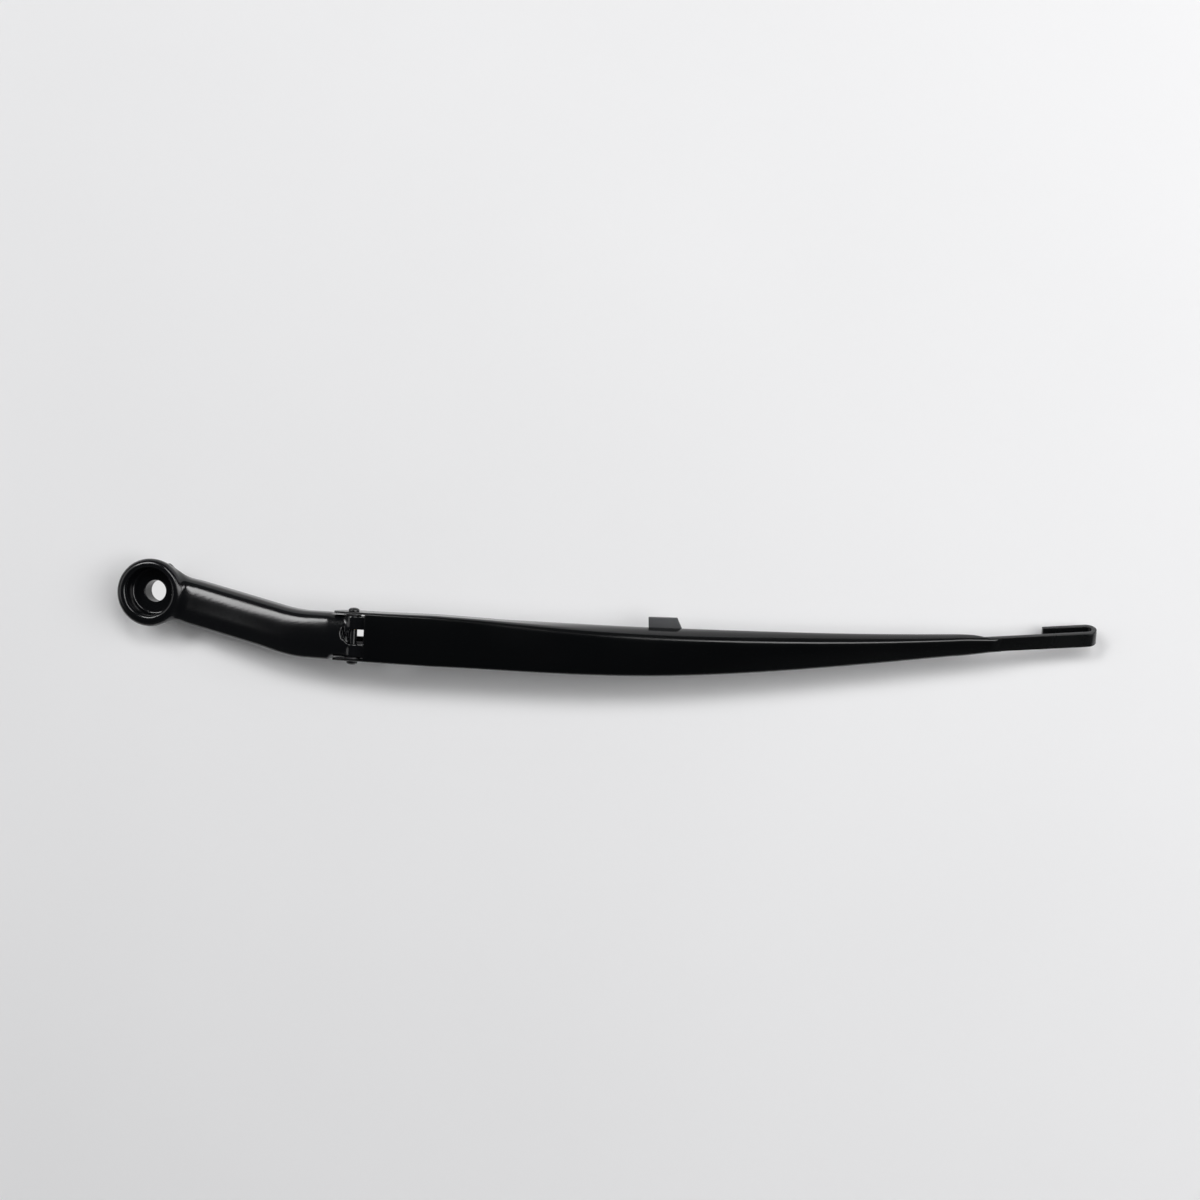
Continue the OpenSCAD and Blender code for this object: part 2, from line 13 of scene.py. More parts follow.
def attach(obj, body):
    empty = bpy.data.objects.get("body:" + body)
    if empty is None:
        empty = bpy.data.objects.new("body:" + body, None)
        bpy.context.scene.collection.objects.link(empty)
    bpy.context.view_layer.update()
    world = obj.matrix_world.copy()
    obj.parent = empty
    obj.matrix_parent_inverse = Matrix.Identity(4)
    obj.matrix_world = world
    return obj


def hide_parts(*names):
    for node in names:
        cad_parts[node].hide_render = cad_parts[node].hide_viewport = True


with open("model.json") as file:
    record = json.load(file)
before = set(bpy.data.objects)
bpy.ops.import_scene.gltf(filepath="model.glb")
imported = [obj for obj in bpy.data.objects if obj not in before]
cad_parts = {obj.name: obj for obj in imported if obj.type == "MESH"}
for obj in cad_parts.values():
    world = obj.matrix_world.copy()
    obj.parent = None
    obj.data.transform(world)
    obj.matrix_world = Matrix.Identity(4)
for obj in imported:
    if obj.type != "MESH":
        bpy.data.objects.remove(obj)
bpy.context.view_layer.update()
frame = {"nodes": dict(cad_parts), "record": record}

MM = 0.001
joints = {row["name"]: row for row in frame["record"]["behaviour"]["joints"]}
HINGE = Vector(joints["arm_hinge"]["pos_m"]) / MM
ANCHOR = Vector(joints["link_pivot"]["pos_m"]) / MM

# Driving sizes of the head. Its outside is cast a little off the bore, by BOSS_SHIFT
BOSS_R, BOSS_H, RIM_R, FOOT_R, FOOT_H, FOOT_EDGE, BOSS_SHIFT = 21.5, 22, 4, 14.5, 3, 0.6, -0.7
RECESS_R, RECESS_DEPTH, RECESS_LIP, RECESS_CORNER = 15, 11.5, 2.2, 0.8
BORE_R, BORE_CHAMFER, SERRATIONS, SERRATION_DEPTH = 6.9, 0.6, 48, 0.22
NECK_RUN, NECK_ANGLE, NECK_BEND_R = 97, radians(11.5), 110
# The neck's shoulder is NECK_ROUND on its upper side and NECK_EDGE on its lower one
NECK_W, NECK_DEPTH, NECK_START_Z, NECK_ROUND, NECK_EDGE, NECK_WALL = 27.8, 15.5, 19, 7, 3, 4
NECK_TILT, NECK_RISE_SHARE = radians(20), 0.93
# Before the neck's end, its lower side runs out to the channel's ear
RUN_OUT_START, RUN_OUT_LEN = 45, 30
BLEND_R = 12
FILLET_START, FILLET_OFF, FILLET_REACH = 8, 1.5, 7
HINGE_RUN, SHOULDER = 39.5, 15
KNUCKLE_R, KNUCKLE_DROP, KNUCKLE_RISE = 5, 1.3, 6
# The stop rests under the channel's face, whose crown hangs down by FACE_CROWN at its sides
STOP_REACH, STOP_ROUND, STOP_GAP, FACE_CROWN = 3, 1.5, 0.25, 0.7
PIN_R, PIN_HEAD_R, PIN_HEAD_H, PIN_EDGE = 2.5, 3.4, 2.4, 0.25
BUSH_WALL, WASHER_T, SIDE_GAP, RUN_GAP, PRESS_GAP = 0.8, 0.8, 0.12, 0.05, 0.02
ANCHOR_R, ANCHOR_WALL, EYE_WALL, EYE_ROOM = 2, 2.2, 1.9, 1.2
# The slot lies a little to one side, and its relief leans as the view through it does
SLOT_W, SLOT_SIDE, SLOT_ROOF = 9.1, -0.1, 0.8
RELIEF_R, RELIEF_X, RELIEF_SIDE, RELIEF_LEAN = 11.5, -7.7, 1.6, (0.29, 0.09)

# Driving sizes of the channel
CHANNEL_LEN, CHANNEL_W, CHANNEL_DEPTH, SHEET_T = 385, 30.5, 18.5, 1.4
FACE_RISE, WEB_CUT, TAPER_START, TIP_RUN = 6.5, 8.4, 50, 45
# The upper fold widens by UPPER_FOLD_GAIN, and the sides bulge by BELLY below and UPPER_GAIN above
HINGE_FOLD_R, FOLD_R, FOLD_FULL, UPPER_FOLD_GAIN = 1.8, 2.6, 180, 3.6
BELLY, BELLY_START, BELLY_END, UPPER_GAIN = 3.0, 40, 375, 1.2
# The web ends in a tongue that feathers away on the bar, and the walls end in a slant
TONGUE_START, TONGUE_END, TONGUE_W, FEATHER, TIP_SLANT, SLANT_GAP = 366, 393, 9.2, 10, 28, 0.3
LIP_RUN, LIP_SHARE = 10, 0.3
EDGE_TILT, TIP_TWIST = radians(6.3), radians(24)
SWEEP_R, SWEEP_START, ARCH_R, ARCH_START = 2250, 90, 5000, 30
# The upper wall leans out and swells, and takes WALL_SHARE of the channel's depth
WALL_LEAN, WALL_SWELL, WALL_SHARE = radians(13), radians(20), 0.83

# Driving sizes of the bar, the clip and the spring
BAR_W, BAR_T, BAR_GAP, BAR_SEAT, BAR_INSIDE, BAR_EDGE = 9, 3, 0.1, 0.5, 62, 0.45
HOOK_S, HOOK_GAP, HOOK_RETURN = 448, 6, 30.5
CLIP_S, CLIP_LEN, CLIP_REACH, CLIP_T, CLIP_GAP, CLIP_GRIP, CLIP_SLANT = 192.8, 20.5, 6, 1.6, 0.35, 4.5, 3
# The coil's last turns draw in to END_TURN_SHARE of its radius, where the hooks start
SPRING_R, WIRE_R, HOOK_R, HOOK_LEAD, TURNS, END_TURN_SHARE = 5.8, 1, 4.2, 2, 20, 0.35
LINK_LEN, LINK_SIDE = 40, -3
BRACKET_S, BRACKET_DROP = 136, 8

# Turned solids close this near their axis, and cutters run this far to be through what they open
AXIS_R, PAST, THROUGH, FAR = 0.01, 3, 20, 30
# Turns what is drawn along Z to run across the arm, as the hinge pin does
ACROSS = Matrix.Rotation(pi / 2, 4, "X")


# Meshes

def mesh_object(name, bm):
    """Turns a bmesh in millimetres into a smooth-shaded object in metres."""
    bmesh.ops.scale(bm, vec=(MM, MM, MM), verts=bm.verts)
    mesh = bpy.data.meshes.new(name)
    bm.to_mesh(mesh)
    bm.free()
    mesh.shade_smooth()
    obj = bpy.data.objects.new(name, mesh)
    bpy.context.scene.collection.objects.link(obj)
    return obj


def skin(bm, rings, ends=True):
    """Adds a closed skin over rings of points that all have the same count."""
    loops = [[bm.verts.new(point) for point in ring] for ring in rings]
    count = len(rings[0])
    faces = []
    for near, far in zip(loops, loops[1:]):
        for i in range(count):
            j = (i + 1) % count
            faces.append(bm.faces.new((near[i], near[j], far[j], far[i])))
    if ends:
        faces.append(bm.faces.new(list(reversed(loops[0]))))
        faces.append(bm.faces.new(loops[-1]))
    bmesh.ops.recalc_face_normals(bm, faces=faces)
    return faces


def lathe(bm, profile, steps, place=Matrix()):
    """Adds a solid of revolution about Z from (radius, height) points, closed flat at both ends."""
    turns = [2 * pi * i / steps for i in range(steps)]
    return skin(bm, [[place @ Vector((radius * cos(a), radius * sin(a), height)) for a in turns]
                     for radius, height in profile])


def prism(bm, outline, low, high, place=Matrix()):
    """Adds an outline in the XY plane, drawn out along Z from low to high."""
    return skin(bm, [[place @ Vector((x, y, z)) for x, y in outline] for z in (low, high)])


def arc(centre, radius, start, end, steps):
    """Points on an arc, by angles in degrees."""
    angles = [radians(start + (end - start) * i / steps) for i in range(steps + 1)]
    return [(centre[0] + radius * cos(a), centre[1] + radius * sin(a)) for a in angles]


def lofted(name, rings):
    """An object skinned over rings of points."""
    bm = bmesh.new()
    skin(bm, rings)
    return mesh_object(name, bm)


def turned(name, profile, steps, place=Matrix()):
    """An object turned about Z from its profile."""
    bm = bmesh.new()
    lathe(bm, profile, steps, place)
    return mesh_object(name, bm)


def drawn(name, outline, low, high, place=Matrix()):
    """An object drawn out along Z from its outline."""
    bm = bmesh.new()
    prism(bm, outline, low, high, place)
    return mesh_object(name, bm)


def drill(name, radius, reach, steps, centre):
    """A round cutter that runs across the arm through its centre, by reach to either side."""
    profile = [(AXIS_R, -reach), (radius, -reach), (radius, reach), (AXIS_R, reach)]
    return turned(name, profile, steps, Matrix.Translation(centre) @ ACROSS)


def modified(obj, *modifiers):
    """Adds modifiers, each a type with its settings, and turns the result into the object's plain mesh."""
    for kind, settings in modifiers:
        modifier = obj.modifiers.new(kind.lower(), kind)
        for name, value in settings.items():
            setattr(modifier, name, value)
    graph = bpy.context.evaluated_depsgraph_get()
    mesh = bpy.data.meshes.new_from_object(obj.evaluated_get(graph))
    obj.modifiers.clear()
    obj.data = mesh
    return obj


def cut(obj, *cutters):
    """Cuts other solids out of an object and deletes them."""
    settings = {"operation": "DIFFERENCE", "solver": "EXACT"}
    modified(obj, *[("BOOLEAN", {**settings, "object": tool}) for tool in cutters])
    for tool in cutters:
        bpy.data.objects.remove(tool)
    return obj


def smooth_but_edges(obj, angle=35):
    """Shades a mesh smooth, apart from edges sharper than the angle in degrees."""
    obj.data.shade_smooth()
    obj.data.set_sharp_from_angle(angle=radians(angle))
    return obj


def ease(value):
    """Rises smoothly from 0 to 1 as its value does, and stays level outside."""
    k = max(0, min(1, value))
    return k * k * (3 - 2 * k)


def coat(obj, material):
    """Gives an object one material in place of any it has."""
    obj.data.materials.clear()
    obj.data.materials.append(material)


# Node trees

def add(tree, kind, settings=None, inputs=None):
    """Adds a node, sets its properties and fills its inputs with values or links."""
    node = tree.nodes.new(kind)
    for name, value in (settings or {}).items():
        setattr(node, name, value)
    for key, value in (inputs or {}).items():
        if isinstance(value, bpy.types.Node):
            value = value.outputs[0]
        if isinstance(value, bpy.types.NodeSocket):
            tree.links.new(value, node.inputs[key])
        else:
            node.inputs[key].default_value = value
    return node


def new_tree(name, inputs):
    """Starts a geometry tree with named inputs, and returns it with the node that holds them."""
    tree = bpy.data.node_groups.new(name, "GeometryNodeTree")
    kinds = {float: "NodeSocketFloat", int: "NodeSocketInt", Vector: "NodeSocketVector"}
    for label, value in inputs.items():
        kind = kinds.get(type(value), "NodeSocketMaterial")
        tree.interface.new_socket(label, in_out="INPUT", socket_type=kind)
    tree.interface.new_socket("Geometry", in_out="OUTPUT", socket_type="NodeSocketGeometry")
    return tree, tree.nodes.new("NodeGroupInput")


def end_tree(tree, geometry, material):
    """Ends a geometry tree in real faces with their material."""
    real = add(tree, "GeometryNodeRealizeInstances", inputs={0: geometry})
    painted = add(tree, "GeometryNodeSetMaterial", inputs={"Geometry": real, "Material": material})
    add(tree, "NodeGroupOutput", inputs={0: painted})


def reckon(tree, values, steps):
    """Adds a row of sums to a tree: each has a label, an operation and its terms, which are numbers or
    the labels of values and of earlier sums."""
    for label, operation, *terms in steps:
        if operation in ("LINEAR", "SMOOTHSTEP"):
            kind, settings = "ShaderNodeMapRange", {"interpolation_type": operation}
        else:
            kind, settings = "ShaderNodeMath", {"operation": operation}
        terms = [values.get(term, term) for term in terms]
        values[label] = add(tree, kind, {"label": label, **settings}, dict(enumerate(terms)))


def grown(name, tree, values, *modifiers):
    """Runs a geometry tree with its inputs set, and returns the result as a plain mesh object."""
    obj = bpy.data.objects.new(name, bpy.data.meshes.new(name))
    bpy.context.scene.collection.objects.link(obj)
    modifier = obj.modifiers.new("tree", "NODES")
    modifier.node_group = tree
    for item in tree.interface.items_tree:
        if item.in_out == "INPUT":
            modifier[item.identifier] = values[item.name]
    return modified(obj, *modifiers)


# Materials

def linear(code):
    """An sRGB hex colour as linear RGBA."""
    parts = [int(code[i:i + 2], 16) / 255 for i in (1, 3, 5)]
    return [c / 12.92 if c <= 0.04045 else ((c + 0.055) / 1.055) ** 2.4 for c in parts] + [1]


def surface(name, base, rough, metallic=0.0, ior=1.5):
    """A material with its Principled shader and object coordinates, ready for its pattern."""
    material = bpy.data.materials.new(name)
    material.use_nodes = True
    tree = material.node_tree
    shader = tree.nodes["Principled BSDF"]
    shader.inputs["Base Color"].default_value = linear(base)
    shader.inputs["Roughness"].default_value = rough
    shader.inputs["Metallic"].default_value = metallic
    if metallic == 0:
        shader.inputs["IOR"].default_value = ior
    return material, tree, shader, add(tree, "ShaderNodeTexCoord").outputs["Object"]


def paint(name, base, dust, rough, peel_mm, peel_height_mm):
    """Black stoved paint: a hard gloss with the long ripple of flowed paint, fine dust, and duller patches.

    Dust on the real paint is finer, and is drawn 0.9 mm wide so that it shows.
    """
    material, tree, shader, place = surface(name, base, rough)
    patches = add(tree, "ShaderNodeTexNoise", inputs={"Vector": place, "Scale": 1 / (38 * MM), "Detail": 3.0})
    dull = add(tree, "ShaderNodeMapRange",
               inputs={0: patches, 1: 0.35, 2: 0.7, 3: rough * 0.85, 4: rough * 1.25})
    tree.links.new(dull.outputs[0], shader.inputs["Roughness"])
    specks = add(tree, "ShaderNodeTexNoise", inputs={"Vector": place, "Scale": 1 / (0.9 * MM), "Detail": 2.0})
    dusty = add(tree, "ShaderNodeMapRange", inputs={0: specks, 1: 0.66, 2: 0.8, 3: 0.0, 4: 0.35})
    colour = add(tree, "ShaderNodeMix", {"data_type": "RGBA"},
                 {"Factor": dusty, "A": linear(base), "B": linear(dust)})
    tree.links.new(colour.outputs["Result"], shader.inputs["Base Color"])
    peel = add(tree, "ShaderNodeTexNoise",
               inputs={"Vector": place, "Scale": 1 / (peel_mm * MM), "Detail": 1.0})
    bump = add(tree, "ShaderNodeBump",
               inputs={"Strength": 1.0, "Distance": peel_height_mm * MM, "Height": peel})
    tree.links.new(bump.outputs[0], shader.inputs["Normal"])
    return material


def bare_metal(name, base, tint, rough, line_mm, stretch):
    """Bare or plated metal: drawn lines along one axis and slow stains of its oil or oxide.

    The real lines are under 0.1 mm apart, and are drawn coarser so that they show.
    """
    material, tree, shader, place = surface(name, base, rough, metallic=1.0)
    stains = add(tree, "ShaderNodeTexNoise", inputs={"Vector": place, "Scale": 1 / (6 * MM), "Detail": 4.0})
    mixing = add(tree, "ShaderNodeMapRange", inputs={0: stains, 1: 0.4, 2: 0.68, 3: 0.0, 4: 1.0})
    colour = add(tree, "ShaderNodeMix", {"data_type": "RGBA"},
                 {"Factor": mixing, "A": linear(base), "B": linear(tint)})
    tree.links.new(colour.outputs["Result"], shader.inputs["Base Color"])
    stretched = add(tree, "ShaderNodeMapping", inputs={"Vector": place, "Scale": stretch})
    lines = add(tree, "ShaderNodeTexNoise",
                inputs={"Vector": stretched, "Scale": 1 / (line_mm * MM), "Detail": 3.0})
    dull = add(tree, "ShaderNodeMapRange", inputs={0: lines, 1: 0.3, 2: 0.7, 3: rough * 0.8, 4: rough * 1.3})
    tree.links.new(dull.outputs[0], shader.inputs["Roughness"])
    bump = add(tree, "ShaderNodeBump", inputs={"Strength": 0.4, "Distance": 0.02 * MM, "Height": lines})
    tree.links.new(bump.outputs[0], shader.inputs["Normal"])
    return material


def nylon(name, base, light, rough, grain_mm):
    """Moulded nylon: a spark-eroded grain that breaks up the sheen.

    The real grain is about 0.1 mm, and is drawn coarser so that it shows.
    """
    material, tree, shader, place = surface(name, base, rough, ior=1.53)
    grain = add(tree, "ShaderNodeTexNoise",
                inputs={"Vector": place, "Scale": 1 / (grain_mm * MM), "Detail": 4.0})
    clouds = add(tree, "ShaderNodeTexNoise", inputs={"Vector": place, "Scale": 1 / (5 * MM), "Detail": 2.0})
    colour = add(tree, "ShaderNodeMix", {"data_type": "RGBA"},
                 {"Factor": clouds, "A": linear(base), "B": linear(light)})
    tree.links.new(colour.outputs["Result"], shader.inputs["Base Color"])
    bump = add(tree, "ShaderNodeBump", inputs={"Strength": 0.6, "Distance": 0.05 * MM, "Height": grain})
    tree.links.new(bump.outputs[0], shader.inputs["Normal"])
    return material


# Dip-coated die-cast aluminium: the paint is thick and flows, so its gloss is deep and slightly rippled
HEAD_PAINT = paint("head_black_dip_paint", "#0b0c0e", "#2a2c30", 0.17, 2.4, 0.02)
# Pressed steel sheet under the same paint: flatter ground, so a calmer ripple and a blacker face
CHANNEL_PAINT = paint("channel_black_stoved_paint", "#060708", "#1d1f22", 0.17, 3.2, 0.012)
# Flat bar with sheared edges: the paint is thinner and a little duller
BAR_PAINT = paint("bar_black_stoved_paint", "#0a0b0c", "#26282b", 0.28, 1.6, 0.015)
# Riveted pin ends: painted after riveting, so the hammered dome shows through a thin, slightly dull coat
PIN_PAINT = paint("pin_black_paint", "#0d0e10", "#303338", 0.25, 1.4, 0.015)
# Glass-filled nylon, dry and grey beside the paint, and black nylon for what runs in the joint
CLIP_NYLON = nylon("clip_grey_nylon", "#4c4d4f", "#595a5c", 0.62, 0.35)
WASHER_NYLON = nylon("washer_black_nylon", "#1b1b1d", "#262628", 0.5, 0.3)
# Sintered bronze bush, soaked in oil: a warm brown with darker, wetter patches
BUSH_BRONZE = bare_metal("bush_oiled_bronze", "#8a6a3c", "#5e4526", 0.38, 0.4, (1, 1, 1))
# Zinc plate on the anchor pin: a pale, cloudy silver
ZINC = bare_metal("anchor_zinc_plate", "#9a9da2", "#7f8388", 0.34, 0.5, (1, 0.2, 1))
# Phosphated steel of link and bracket: dark grey and almost without shine
LINK_STEEL = bare_metal("link_phosphated_steel", "#3b3d40", "#2b2d30", 0.5, 0.4, (0.2, 1, 1))
# Oil-tempered spring wire: a grey-brown skin with the sheen of its oil
SPRING_STEEL = bare_metal("spring_oil_tempered_wire", "#55555a", "#3c3835", 0.36, 0.3, (1, 1, 0.3))


# Head

STRAIGHT_END = NECK_RUN - NECK_BEND_R * tan(NECK_ANGLE / 2)
BEND_LEN = NECK_BEND_R * NECK_ANGLE
HEAD_LEN = STRAIGHT_END + BEND_LEN + HINGE_RUN - NECK_BEND_R * tan(NECK_ANGLE / 2) - SHOULDER
BLEND_U = sqrt((BOSS_R + BLEND_R) ** 2 - (NECK_W / 2 + BLEND_R) ** 2)
BLEND_ON_BOSS = BLEND_U * BOSS_R / (BOSS_R + BLEND_R)
SHOULDER_W = CHANNEL_W - 2 * (SHEET_T + SIDE_GAP)
KNUCKLE_W = CHANNEL_W - 2 * (SHEET_T + WASHER_T + 2 * SIDE_GAP)


def neck_frame(u):
    """Place and heading of the neck in plan at length u from the spindle axis."""
    back = Matrix.Rotation(-NECK_ANGLE, 2)
    start = back @ Vector((STRAIGHT_END, 0))
    centre = start + back @ Vector((0, NECK_BEND_R))
    if u <= STRAIGHT_END:
        return back @ Vector((u, 0)), -NECK_ANGLE
    if u <= STRAIGHT_END + BEND_LEN:
        heading = (u - STRAIGHT_END) / NECK_BEND_R - NECK_ANGLE
        return centre + Matrix.Rotation(heading, 2) @ Vector((0, -NECK_BEND_R)), heading
    return Vector((HINGE.x - SHOULDER - (HEAD_LEN - u), HINGE.y)), 0.0


def neck_half(u):
    """Half width of the neck, which flares into the boss and widens towards the knuckle."""
    if u < BLEND_U:
        return NECK_W / 2 + BLEND_R - sqrt(BLEND_R ** 2 - (BLEND_U - max(u, BLEND_ON_BOSS)) ** 2)
    return NECK_W / 2 + (SHOULDER_W - NECK_W) / 2 * ease((u - HEAD_LEN / 2) / (HEAD_LEN / 2))


def neck_top(u):
    """Height of the neck's crown, which rises to the channel's face and dips over the knuckle."""
    past = ease((u - HEAD_LEN) / SHOULDER)
    rise = ease(min(u / HEAD_LEN, 1) * NECK_RISE_SHARE)
    return NECK_START_Z + (HINGE.z + FACE_RISE - NECK_START_Z) * rise - KNUCKLE_DROP * past


def neck_ring(u, outline):
    """An outline of (across, height over the crown) points, placed at length u of the neck."""
    at, heading = neck_frame(u)
    top = neck_top(u)
    return [(at.x - y * sin(heading), at.y + y * cos(heading), top + z) for y, z in outline]


def lower_half(u):
    """Half width on the lower side, which runs out flush with the channel's ear."""
    out = ease((u - HEAD_LEN + RUN_OUT_START) / RUN_OUT_LEN)
    return neck_half(u) + (CHANNEL_W / 2 - SHOULDER_W / 2) * out


def neck_outline(upper, lower, deep=NECK_DEPTH, foot_limit=BOSS_R):
    """Section of the neck: a crowned back, with a round shoulder on the upper side and a tighter edge
    on the lower one."""
    sides = []
    for half, radius in ((upper, NECK_ROUND), (lower, NECK_EDGE)):
        foot = min(half, foot_limit)
        flat = half - radius * (1 - sin(NECK_TILT))
        crown = flat * tan(NECK_TILT) / 2
        centre = (half - radius, -crown - radius * cos(NECK_TILT))
        shoulder = arc(centre, radius, 0, 90 - degrees(NECK_TILT), 10)
        back = [(flat * k, -crown * k * k) for k in [1 - i / 8 for i in range(1, 8)]]
        sides.append([(foot, -deep)] + shoulder + back)
    return sides[0] + [(0, 0)] + [(-y, z) for y, z in reversed(sides[1])]


def knuckle(bm):
    """The head's end under the channel: round about the pin, with a stop under the face and a foot
    for the anchor pin."""
    anchor = (ANCHOR.x - HINGE.x, ANCHOR.z - HINGE.z)
    foot_r = ANCHOR_R + ANCHOR_WALL
    stop_top = FACE_RISE - SHEET_T - FACE_CROWN - STOP_GAP
    stop_end = WEB_CUT + STOP_REACH
    back = -SHOULDER - 1
    place = Matrix.Translation(HINGE) @ ACROSS
    side = KNUCKLE_W / 2
    rounds = [((0, 0), KNUCKLE_R, 23), (anchor, foot_r, 23),
              ((stop_end - STOP_ROUND, stop_top - STOP_ROUND), STOP_ROUND, 15)]
    for centre, radius, steps in rounds:
        prism(bm, arc(centre, radius, 0, 345, steps), -side, side, place)
    prism(bm, [(0, KNUCKLE_R), (-2, KNUCKLE_R - 0.4), (-6, 1.5), (back, 1),
               (back, FACE_RISE - NECK_DEPTH + 0.5), (anchor[0], anchor[1] - foot_r), anchor,
               (KNUCKLE_R * 0.8, -KNUCKLE_R * 0.6), (stop_end, stop_top - 3.2),
               (stop_end, stop_top - STOP_ROUND), (stop_end - STOP_ROUND, stop_top),
               (KNUCKLE_R * 0.6, stop_top)], -side, side, place)


def recess_cutter():
    """The nut's recess with its rolled lip."""
    floor = BOSS_H - RECESS_DEPTH
    wide, above = RECESS_R + RECESS_LIP, BOSS_H + PAST
    corner = [(AXIS_R, floor), (RECESS_R - RECESS_CORNER, floor), (RECESS_R, floor + RECESS_CORNER)]
    lip = arc((wide, BOSS_H - RECESS_LIP), RECESS_LIP, 180, 90, 8)
    return turned("recess_cutter", corner + lip + [(wide, above), (AXIS_R, above)], 96)


def hollow_cutter():
    """The hollow under the neck, with drafted walls."""
    first, last, steps = BOSS_R + 3, HEAD_LEN - 10, 40
    top, waist, foot = -NECK_WALL - 1.7, 1.6 - NECK_DEPTH / 2, -NECK_DEPTH - 1
    rings = []
    for i in range(steps + 1):
        u = first + (last - first) * i / steps
        half = neck_half(u) - NECK_WALL
        side = [(half, foot), (half - 0.5, waist), (half - 2, top)]
        rings.append(neck_ring(u, side + [(-y, z) for y, z in reversed(side)]))
    return lofted("hollow_cutter", rings)


def slot_cutters():
    """The knuckle's slot: open over the pin up to a round end, with a relief beyond it, and roofed
    further back over the link's eye."""
    low, high = SLOT_SIDE - SLOT_W / 2, SLOT_SIDE + SLOT_W / 2
    eye_r = ANCHOR_R + RUN_GAP + EYE_WALL
    anchor = ANCHOR - HINGE
    back = anchor.x - eye_r - EYE_ROOM
    place = Matrix.Translation(HINGE)
    round_end = arc((0, SLOT_SIDE), SLOT_W / 2, 90, 270, 24)
    relief = arc((RELIEF_R + RELIEF_X, SLOT_SIDE + RELIEF_SIDE), RELIEF_R, 148, 212, 24)
    return (drawn("slot_cutter", round_end + [(THROUGH, low), (THROUGH, high)], -THROUGH, THROUGH, place),
            drawn("relief_cutter", relief, -THROUGH, 9, place @ Matrix.Shear("XY", 4, RELIEF_LEAN)),
            drawn("slot_back_cutter", [(back, low), (10, low), (10, high), (back, high)], -THROUGH,
                  anchor.z + eye_r + SLOT_ROOF, place))


def serration_tree():
    """A toothed disc: a circle whose radius waves once for each tooth, filled and drawn out."""
    inputs = {"Radius": 1.0, "Tooth Depth": 1.0, "Teeth": 1, "Height": 1.0, "Material": None}
    tree, given = new_tree("serrated_bore", inputs)
    count = add(tree, "ShaderNodeMath", {"operation": "MULTIPLY"}, {0: given.outputs["Teeth"], 1: 6})
    circle = add(tree, "GeometryNodeCurvePrimitiveCircle",
                 inputs={"Resolution": count, "Radius": given.outputs["Radius"]})
    factor = add(tree, "GeometryNodeSplineParameter").outputs["Factor"]
    turn = add(tree, "ShaderNodeMath", {"operation": "MULTIPLY"}, {0: factor, 1: given.outputs["Teeth"]})
    wave = add(tree, "ShaderNodeMath", {"operation": "PINGPONG"}, {0: turn, 1: 0.5})
    reach = add(tree, "ShaderNodeMath", {"operation": "MULTIPLY"}, {0: wave, 1: given.outputs["Tooth Depth"]})
    position = add(tree, "GeometryNodeInputPosition")
    outward = add(tree, "ShaderNodeVectorMath", {"operation": "NORMALIZE"}, {0: position})
    shift = add(tree, "ShaderNodeVectorMath", {"operation": "SCALE"}, {0: outward, "Scale": reach})
    toothed = add(tree, "GeometryNodeSetPosition", inputs={"Geometry": circle, "Offset": shift})
    disc = add(tree, "GeometryNodeFillCurve", {"mode": "NGONS"}, {0: toothed})
    raised = add(tree, "GeometryNodeExtrudeMesh",
                 inputs={"Mesh": disc, "Offset Scale": given.outputs["Height"]})
    bottom = add(tree, "GeometryNodeFlipFaces", inputs={0: disc})
    whole = add(tree, "GeometryNodeJoinGeometry")
    tree.links.new(raised.outputs["Mesh"], whole.inputs[0])
    tree.links.new(bottom.outputs["Mesh"], whole.inputs[0])
    welded = add(tree, "GeometryNodeMergeByDistance", inputs={"Geometry": whole, "Distance": 0.001 * MM})
    end_tree(tree, welded, given.outputs["Material"])
    return tree


def junction_weights(obj):
    """Marks the corner between boss and neck, where the casting has its widest fillet."""
    group = obj.vertex_groups.new(name="fillet")
    heading = Vector((cos(NECK_ANGLE), -sin(NECK_ANGLE)))
    for vertex in obj.data.vertices:
        plan = Vector(vertex.co[:2]) / MM
        near = 1 - abs(plan.length - BOSS_R - FILLET_OFF) / FILLET_REACH
        if plan.dot(heading) > FILLET_START and near > 0:
            group.add([vertex.index], ease(near * 1.6), "REPLACE")


